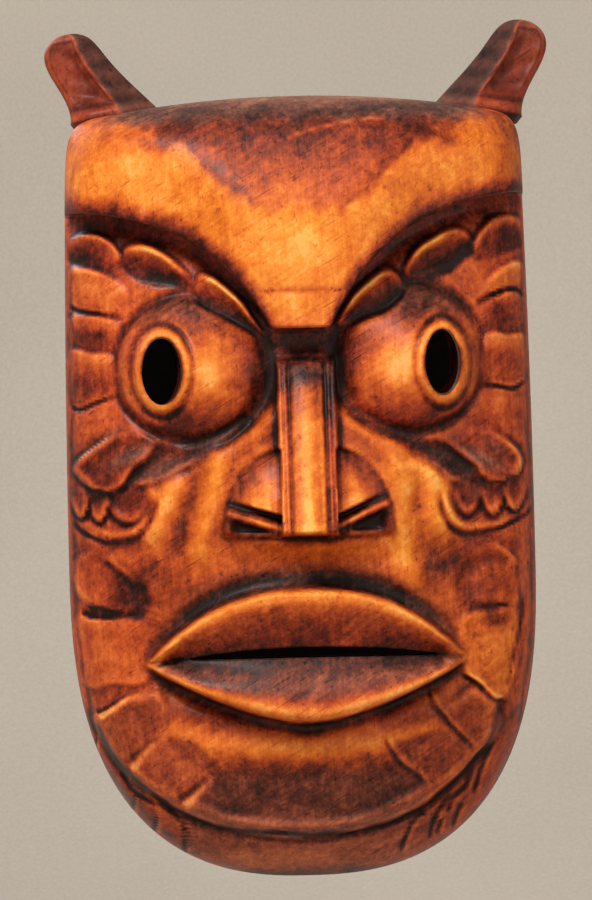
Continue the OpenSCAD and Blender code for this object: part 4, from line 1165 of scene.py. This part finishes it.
def build_ear(s, name, material):
    """A leaning tongue with a scooped panel, a crest and a collar at its foot."""
    skin = Skin()
    n = 112
    a = np.arange(n) * 2 * math.pi / n
    v = np.concatenate([[-3, -1.5], 36 * (1 - (1 - np.linspace(0, 1, 64)) ** 1.9) * 0.999])
    q, v = np.meshgrid(np.cos(a), v)
    back = np.broadcast_to(np.sin(a) >= 0, q.shape)
    vc = np.maximum(v, 0)
    w = (11.4 + 5.9 * np.exp(-vc / 12)) * np.maximum(0, 1 - (vc / 36) ** 7) ** 0.5
    thick = 13.5 * (0.46 + 0.54 * np.exp(-(vc / 11) ** 1.4)) * np.maximum(0, 1 - (vc / 36) ** 9) ** 0.45
    r = mix(0.15, 0.3, vc / 36)
    scoop = 0.3 * sm(3, 10, vc) * sm(36, 30, vc)
    slope = np.maximum(0, (1 - q) / (1 - r)) ** 0.8
    panel = 1 - scoop * np.sin(np.pi * (q + 1) / (r + 1))
    panel = panel * np.maximum(0, 1 - np.maximum(0, (r - q) / (r + 1)) ** 5) ** 0.5
    inner = q > r
    out_mm, crest_mm = (q + 1) * w, (r - q) * w
    sunk = sm(1.6, 4.6, out_mm) * sm(0.6, 4.2, crest_mm) * sm(5, 12, vc) * sm(35, 30, vc + 0.12 * crest_mm)
    front = np.where(inner, slope, panel) * thick - 0.8 * sunk
    collar = (0.7 * bell(vc - 2.6, 1.5) - 0.7 * bell(vc - 5.6, 0.9)) * sm(0.9, 0.6, np.abs(q))
    front += collar + 0.35 * bell(crest_mm, 0.9)
    front += 0.22 * np.sin(vc * 0.7 + 5 * q) * sm(0, 6, vc) * sm(36, 30, vc)
    y = np.where(back, 0.8 * np.maximum(0, 1 - q * q) ** 0.5 * thick, -front)
    rise = EAR_STRETCH[s] * EAR_TALL / 36
    foot = 1 - 0.05 * np.clip(-v, 0, 3) / 3 * 2
    y = y * foot
    x = -s * (0.3 - 12.8 * sm(-4, 32, vc) + w * q * foot)
    z = np.where(v < 0, v, v * rise)
    low, high = abs(SEAT[s]) - 16, abs(SEAT[s]) + 13
    t = s * math.atan((top_z(low) - top_z(high)) / 29)
    px = SEAT[s] + x * math.cos(t) + z * math.sin(t)
    pz = top_z(SEAT[s]) - EAR_SINK - x * math.sin(t) + z * math.cos(t)
    tip_line = np.minimum(np.minimum(out_mm - 1.6, crest_mm - 0.6), (33.4 - vc) * 0.8)
    tone = 0.37 - 0.14 * bell(tip_line - 0.6, 0.5) * sm(5, 12, vc) - 0.03 * sunk
    tone += 0.14 * bell(crest_mm, 1.1)
    tone += 0.10 * bell(out_mm - 1.4, 1.2)
    tone += 0.05 * sm(28, 34, vc)
    tone += 0.08 * bell(vc - 2.6, 1.6)
    tone -= 0.14 * bell(vc - 5.6, 0.9)
    tone -= 0.2 * sm(1.4, 0, vc)
    tone -= 0.08 * sunk * bell(crest_mm - 3, 2)
    slope_tone = 0.24 + 0.14 * bell(crest_mm, 1.2) + 0.05 * np.sin(vc * 0.8) + 0.1 * bell(vc - 3, 2)
    tone = np.where(inner, slope_tone, tone)
    tone = np.where(back, 0.34, tone)
    # the grey on the slanting facet is painted sheen; it also greys toward the tip
    ash = np.where(inner, 0.8, 0.1 + 0.3 * sm(26, 34, vc))
    red = np.where(inner, 0.7, 0.55)
    skin.add(np.stack([px, EAR_Y + y, pz], -1), np.stack([tone, red, np.where(back, 0.3, ash)], -1))
    rows = len(px)
    for j in range(rows - 1):
        lo_, hi_ = j * n + np.arange(n), (j + 1) * n + np.arange(n)
        skin.strip(lo_, hi_) if s < 0 else skin.strip(hi_, lo_)
    for j, up in ((0, False), (rows - 1, True)):
        loop = list(range(j * n, j * n + n))
        skin.faces.append(loop if up == (s < 0) else loop[::-1])
        skin.mats.append(0)
    ob = skin.mesh(name, [material], sharp=50)
    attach(ob, "root")
    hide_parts({-1: "left_ear", 1: "right_ear"}[s])


# ---------------------------------------------------------------- materials
class Val:
    """A socket that takes part in plain arithmetic."""

    def __init__(self, shop, socket):
        self.shop, self.socket = shop, socket

    def __add__(self, other):
        return self.shop.math("ADD", self, other)

    def __radd__(self, other):
        return self.shop.math("ADD", other, self)

    def __sub__(self, other):
        return self.shop.math("SUBTRACT", self, other)

    def __rsub__(self, other):
        return self.shop.math("SUBTRACT", other, self)

    def __mul__(self, other):
        return self.shop.math("MULTIPLY", self, other)

    def __rmul__(self, other):
        return self.shop.math("MULTIPLY", other, self)


class Shop:
    """Makes the nodes of one material."""

    def __init__(self, name):
        self.mat = bpy.data.materials.new(name)
        self.mat.use_nodes = True
        self.tree = self.mat.node_tree
        self.tree.nodes.clear()

    def node(self, kind, settings=None, values=None, out=0):
        n = self.tree.nodes.new(kind)
        for k, v in (settings or {}).items():
            if k == "stops":
                ramp = n.color_ramp
                ramp.elements.remove(ramp.elements[-1])
                for i, (pos, colour) in enumerate(v):
                    el = ramp.elements[0] if i == 0 else ramp.elements.new(pos)
                    el.position, el.color = pos, (*colour, 1)
            else:
                setattr(n, k, v)
        for k, v in (values or {}).items():
            if isinstance(v, Val):
                self.tree.links.new(v.socket, n.inputs[k])
            else:
                n.inputs[k].default_value = v
        return Val(self, n.outputs[out]) if n.outputs else None

    def math(self, op, a, b=0.0):
        return self.node("ShaderNodeMath", {"operation": op}, {0: a, 1: b})

    def clamp(self, v):
        return self.node("ShaderNodeClamp", None, {0: v})

    def ramp(self, v, stops):
        return self.node("ShaderNodeValToRGB", {"stops": stops}, {0: v})

    def step(self, v, lo, hi):
        return self.node("ShaderNodeMapRange", {"interpolation_type": "SMOOTHSTEP", "clamp": True},
                         {0: v, 1: lo, 2: hi, 3: 0.0, 4: 1.0})

    def noise(self, vec, scale, detail=3.0, rough=0.5, dist=0.0):
        return self.node("ShaderNodeTexNoise", None,
            {"Vector": vec, "Scale": scale, "Detail": detail, "Roughness": rough, "Distortion": dist})

    def stretch(self, vec, size, turn=0.0):
        """Turned about the front-to-back line first, then stretched."""
        if turn:
            vec = self.node("ShaderNodeMapping", None,
                {"Vector": vec, "Rotation": (0.0, math.radians(turn), 0.0)})
        return self.node("ShaderNodeMapping", None, {"Vector": vec, "Scale": size})

    def blend(self, a, b, t):
        return self.node("ShaderNodeMix", {"data_type": "RGBA"}, {0: t, 6: a, 7: b}, out=2)

    def finish(self, colour, rough, height, strength, distance, **fixed):
        bump = self.node("ShaderNodeBump", None,
            {"Height": height, "Strength": strength, "Distance": distance})
        values = {"Base Color": colour, "Roughness": rough, "Normal": bump}
        values.update({k.replace("_", " "): v for k, v in fixed.items()})
        shader = self.node("ShaderNodeBsdfPrincipled", None, values)
        self.node("ShaderNodeOutputMaterial", None, {0: shader})
        return self.mat


BLACKEST = (0.014, 0.004, 0.0022)
ORANGE = [(0.0, BLACKEST), (0.15, (0.055, 0.0095, 0.004)), (0.3, (0.15, 0.025, 0.007)),
    (0.45, (0.34, 0.058, 0.009)), (0.6, (0.56, 0.110, 0.010)), (0.75, (0.77, 0.195, 0.014)),
    (0.9, (0.93, 0.33, 0.032)), (1.0, (1.0, 0.47, 0.08))]
RUDDY = [(0.0, BLACKEST), (0.15, (0.055, 0.008, 0.0045)), (0.3, (0.155, 0.017, 0.008)),
    (0.45, (0.32, 0.036, 0.013)), (0.6, (0.53, 0.075, 0.020)), (0.75, (0.72, 0.135, 0.030)),
    (0.9, (0.89, 0.25, 0.06)), (1.0, (0.96, 0.38, 0.12))]
# greys for dust and for painted sheen
DUST_AND_SHEEN = [(0.0, (0.010, 0.007, 0.006)), (0.3, (0.095, 0.046, 0.034)), (0.6, (0.26, 0.145, 0.098)),
    (1.0, (0.5, 0.42, 0.33))]


def stained_wood(name, gloss=0.43, coat=0.045, plain=None, mottle=1.0, shine=0.16):
    """Wood stained orange to near black and varnished; plain gives one even tone in place of the per-point
    values.
    """
    s = Shop(name)
    at = s.node("ShaderNodeTexCoord", out=3)
    if plain is None:
        stain = s.node("ShaderNodeAttribute", {"attribute_name": "stain"}, out=1)
        tone = s.node("ShaderNodeSeparateXYZ", None, {0: stain})
        red, ash = (Val(s, tone.socket.node.outputs[i]) for i in (1, 2))
    else:
        tone, red, ash = (s.noise(at, 9.0) * 0.1 + (v - 0.05) for v in plain)
    # stained colour laid on by hand: broad clouds, blotches, then fine speckle
    broad = s.noise(at, 20.0, 2.0, 0.5)
    blotch = s.noise(at, 64.0, 4.0, 0.62, 0.6)
    speck = s.noise(at, 230.0, 4.0, 0.7)
    tiny = s.noise(at, 760.0, 3.0, 0.7)
    grain = s.noise(s.stretch(at, (620, 300, 46), 3), 1.0, 4.0, 0.62, 0.5)
    streak = s.noise(s.stretch(at, (46, 220, 520), 32), 1.0, 4.0, 0.65, 0.3)
    wear = (broad - 0.5) * 0.34 + (blotch - 0.5) * 0.72 + (speck - 0.5) * 0.62
    wear = wear + (tiny - 0.5) * 0.28 + (grain - 0.5) * 0.36 + (streak - 0.5) * 0.38
    # flecks, and three sets of thin scratches
    fleck = s.step(s.noise(s.stretch(at, (470, 470, 300)), 1.0, 4.0, 0.75), 0.60, 0.68)
    score = s.step(s.noise(s.stretch(at, (52, 200, 1500), 31), 1.0, 2.0, 0.6), 0.66, 0.72)
    nick = s.step(s.noise(s.stretch(at, (60, 200, 1300), -38), 1.0, 2.0, 0.6), 0.69, 0.75)
    pale = s.step(s.noise(s.stretch(at, (90, 200, 1100), 58), 1.0, 2.0, 0.6), 0.69, 0.75)
    lightness = (tone - 0.5) * 1.2 + 0.515 + wear * mottle * (1.2 - 0.65 * tone)
    lightness = lightness - fleck * (0.24 - 0.1 * tone) - score * 0.2 - nick * 0.13 + pale * 0.10
    lightness = s.clamp(lightness)
    hue = s.clamp(red + 0.12 + (broad - 0.5) * 0.7 + (speck - 0.5) * 0.5)
    colour = s.blend(s.ramp(lightness, ORANGE), s.ramp(lightness, RUDDY), hue)
    # grey from dust, and painted sheen where the points ask for it
    dust_sheen_share = s.clamp(ash * 0.8 + s.step(speck + blotch, 1.18, 1.4) * 0.18)
    colour = s.blend(colour, s.ramp(lightness, DUST_AND_SHEEN), dust_sheen_share)
    rough = gloss + (blotch - 0.5) * 0.45 + (speck - 0.5) * 0.3
    rough = s.clamp(rough + s.step(tone, 0.4, 0.1) * 0.1 + ash * 0.12)
    height = grain * 0.45 + blotch * 0.7 + speck * 0.35 + tiny * 0.1
    height = height - fleck * 0.3 - score * 0.35 - nick * 0.3
    return s.finish(colour, rough, height, 0.5, 0.0006, Coat_Weight=coat, Coat_Roughness=0.2,
        Specular_IOR_Level=shine)


def dull_steel(name, shade, rust):
    """Rubbed sheet steel with a few rust spots."""
    s = Shop(name)
    at = s.node("ShaderNodeTexCoord", out=3)
    cloud, rub = s.noise(at, 260.0, 4.0, 0.6), s.noise(s.stretch(at, (240, 900, 2600)), 1.0, 3.0, 0.6)
    spots = s.step(s.noise(at, 420.0, 4.0, 0.7), 0.70 - rust, 0.80 - rust)
    base = s.ramp(s.clamp(cloud * 0.6 + rub * 0.4), [(0.3, tuple(0.62 * c for c in shade)), (0.7, shade)])
    colour = s.blend(base, (0.16, 0.07, 0.035, 1), spots * 0.8)
    rough = s.clamp(0.34 + (rub - 0.5) * 0.4 + spots * 0.35)
    return s.finish(colour, rough, rub * 0.6 + cloud * 0.4, 0.35, 0.0002, Metallic=1 - spots * 0.85)


def pale_paper(name, dark, light, shine=0.2):
    """Matt paper between two shades."""
    s = Shop(name)
    at = s.node("ShaderNodeTexCoord", out=3)
    broad, fibre = s.noise(at, 1.6, 3.0, 0.5), s.noise(at, 260.0, 4.0, 0.65)
    colour = s.ramp(s.clamp(broad * 0.5 + fibre * 0.5), [(0.35, dark), (0.65, light)])
    return s.finish(colour, s.clamp(0.85 + fibre * 0.15), fibre, 0.12, 0.0004, Specular_IOR_Level=shine)


# -------------------------------------------------------------------- pieces
body_wood = stained_wood("varnished_stained_wood")
inside_wood = stained_wood("gouged_inside_wood", gloss=0.66, coat=0.0)
ear_finish = stained_wood("dark_stained_ear_wood", gloss=0.48, mottle=0.5)
# painted shade: an even near-black wood for the walls deep in the openings
hole_shade_wood = stained_wood("sooty_tunnel_wood", gloss=0.9, coat=0.0, plain=(0.1, 0.5, 0.1), mottle=0.6,
    shine=0.0)
shell = build_shell([body_wood, inside_wood, hole_shade_wood])
cut_with(shell, shell_cuts())
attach(shell, "root")
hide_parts("mask_shell")
build_ear(-1, "carved_left_ear", ear_finish)
build_ear(1, "carved_right_ear", ear_finish)
peg_finish = stained_wood("turned_peg_wood", gloss=0.7, coat=0.0, plain=(0.6, 0.3, 0.45), mottle=0.6)
for piece, finish in (("left_ear_pegs", peg_finish), ("right_ear_pegs", peg_finish),
                      ("hanger_plate", dull_steel("zinc_plated_steel", (0.62, 0.60, 0.55), 0.0)),
                      ("hanger_nails", dull_steel("nail_steel", (0.50, 0.49, 0.47), 0.04))):
    for own in bpy.data.objects[piece].material_slots:
        own.material = finish

# --------------------------------------------------------- floor, light, camera
scene = bpy.context.scene
scene.view_settings.view_transform = "Standard"


def sheet_mesh(name, xs, line, material):
    """A sheet across xs along a line of (y, z) points, in metres, with a slight wave."""
    pts = [(x, y, z + 0.0015 * math.sin(2.1 * x + 1.3 * y)) for y, z in line for x in xs]
    k = len(xs)
    corners = [j * k + i for j in range(len(line) - 1) for i in range(k - 1)]
    faces = [(a, a + 1, a + k + 1, a + k) for a in corners]
    me = bpy.data.meshes.new(name)
    me.from_pydata(pts, [], faces)
    me.polygons.foreach_set("use_smooth", [True] * len(faces))
    me.materials.append(material)
    ob = bpy.data.objects.new(name, me)
    scene.collection.objects.link(ob)
    return ob


def lamp(name, at, to, size, power, colour=(1, 0.975, 0.94)):
    d = bpy.data.lights.new(name, "AREA")
    d.shape, d.size, d.size_y, d.energy, d.color = "RECTANGLE", size[0], size[1], power, colour
    ob = bpy.data.objects.new(name, d)
    scene.collection.objects.link(ob)
    ob.location = at
    ob.rotation_euler = (Vector(to) - Vector(at)).to_track_quat("-Z", "Y").to_euler()
    ob.visible_camera = False


FLOOR_Z, WALL_Y = -0.62, 5
quarter = np.linspace(0, math.pi / 2, 16)
sweep = [(-WALL_Y + 0.3 * k, FLOOR_Z) for k in range(30)]
sweep += [(4 + math.sin(a), 0.38 - math.cos(a)) for a in quarter]
sweep += [(WALL_Y, 0.4 + 0.4 * k) for k in range(1, 11)]
backdrop_paper = pale_paper("pale_paper", (0.44, 0.395, 0.34), (0.53, 0.48, 0.415))
sheet_mesh("pale_floor_and_wall", np.linspace(-5, 5, 41), sweep, backdrop_paper)
# painted shade: a black card behind the pierced eyes and the slit, seen only through them, standing in for
# the dark inside of the hollow
black_paper = pale_paper("black_paper", (0.0012, 0.0009, 0.0008), (0.003, 0.0022, 0.002), 0.0)
upright = [(0.4, z) for z in np.linspace(-0.105, 0.08, 11)]
card = sheet_mesh("dark_card_behind", np.linspace(-0.085, 0.092, 9), upright, black_paper)
card.visible_shadow = card.visible_diffuse = card.visible_glossy = False
world = bpy.data.worlds.new("studio")
scene.world = world
world.use_nodes = True
world.node_tree.nodes["Background"].inputs[0].default_value = (1.0, 0.96, 0.91, 1)
world.node_tree.nodes["Background"].inputs[1].default_value = 0.3
lamp("key", (-0.65, -1.4, 1.5), (0, -0.06, 0.02), (0.9, 0.6), 41)
lamp("fill", (1.2, -1.4, 0.5), (0, -0.06, 0), (1.2, 1.2), 6)
lamp("low", (0.0, -1.6, -0.3), (0, -0.06, -0.05), (1.2, 0.5), 2.4, (1, 0.93, 0.86))
lamp("back", (-1.5, 1.9, 1.3), (0, -0.02, 0), (1.2, 1.0), 20)
lamp("wall_wash", (0, 1.6, 2.7), (0, 5, 0.2), (3.5, 0.8), 128)

DIST, SPAN = 2.6, 0.3465
aim = Vector((-0.0015, -0.045, 0.0142))
turn = math.radians(-1.2)
cam_data = bpy.data.cameras.new("camera")
cam = bpy.data.objects.new("camera", cam_data)
scene.collection.objects.link(cam)
scene.camera = cam
cam.location = aim + Vector((DIST * math.sin(turn), -DIST * math.cos(turn), 0.02))
cam.rotation_mode = "QUATERNION"
lean = Quaternion((0, 0, 1), math.radians(-1.4))
cam.rotation_quaternion = (aim - cam.location).to_track_quat("-Z", "Y") @ lean
cam_data.sensor_fit, cam_data.sensor_width = "AUTO", 36
cam_data.lens = 36 * DIST / SPAN
cam_data.clip_end = 50
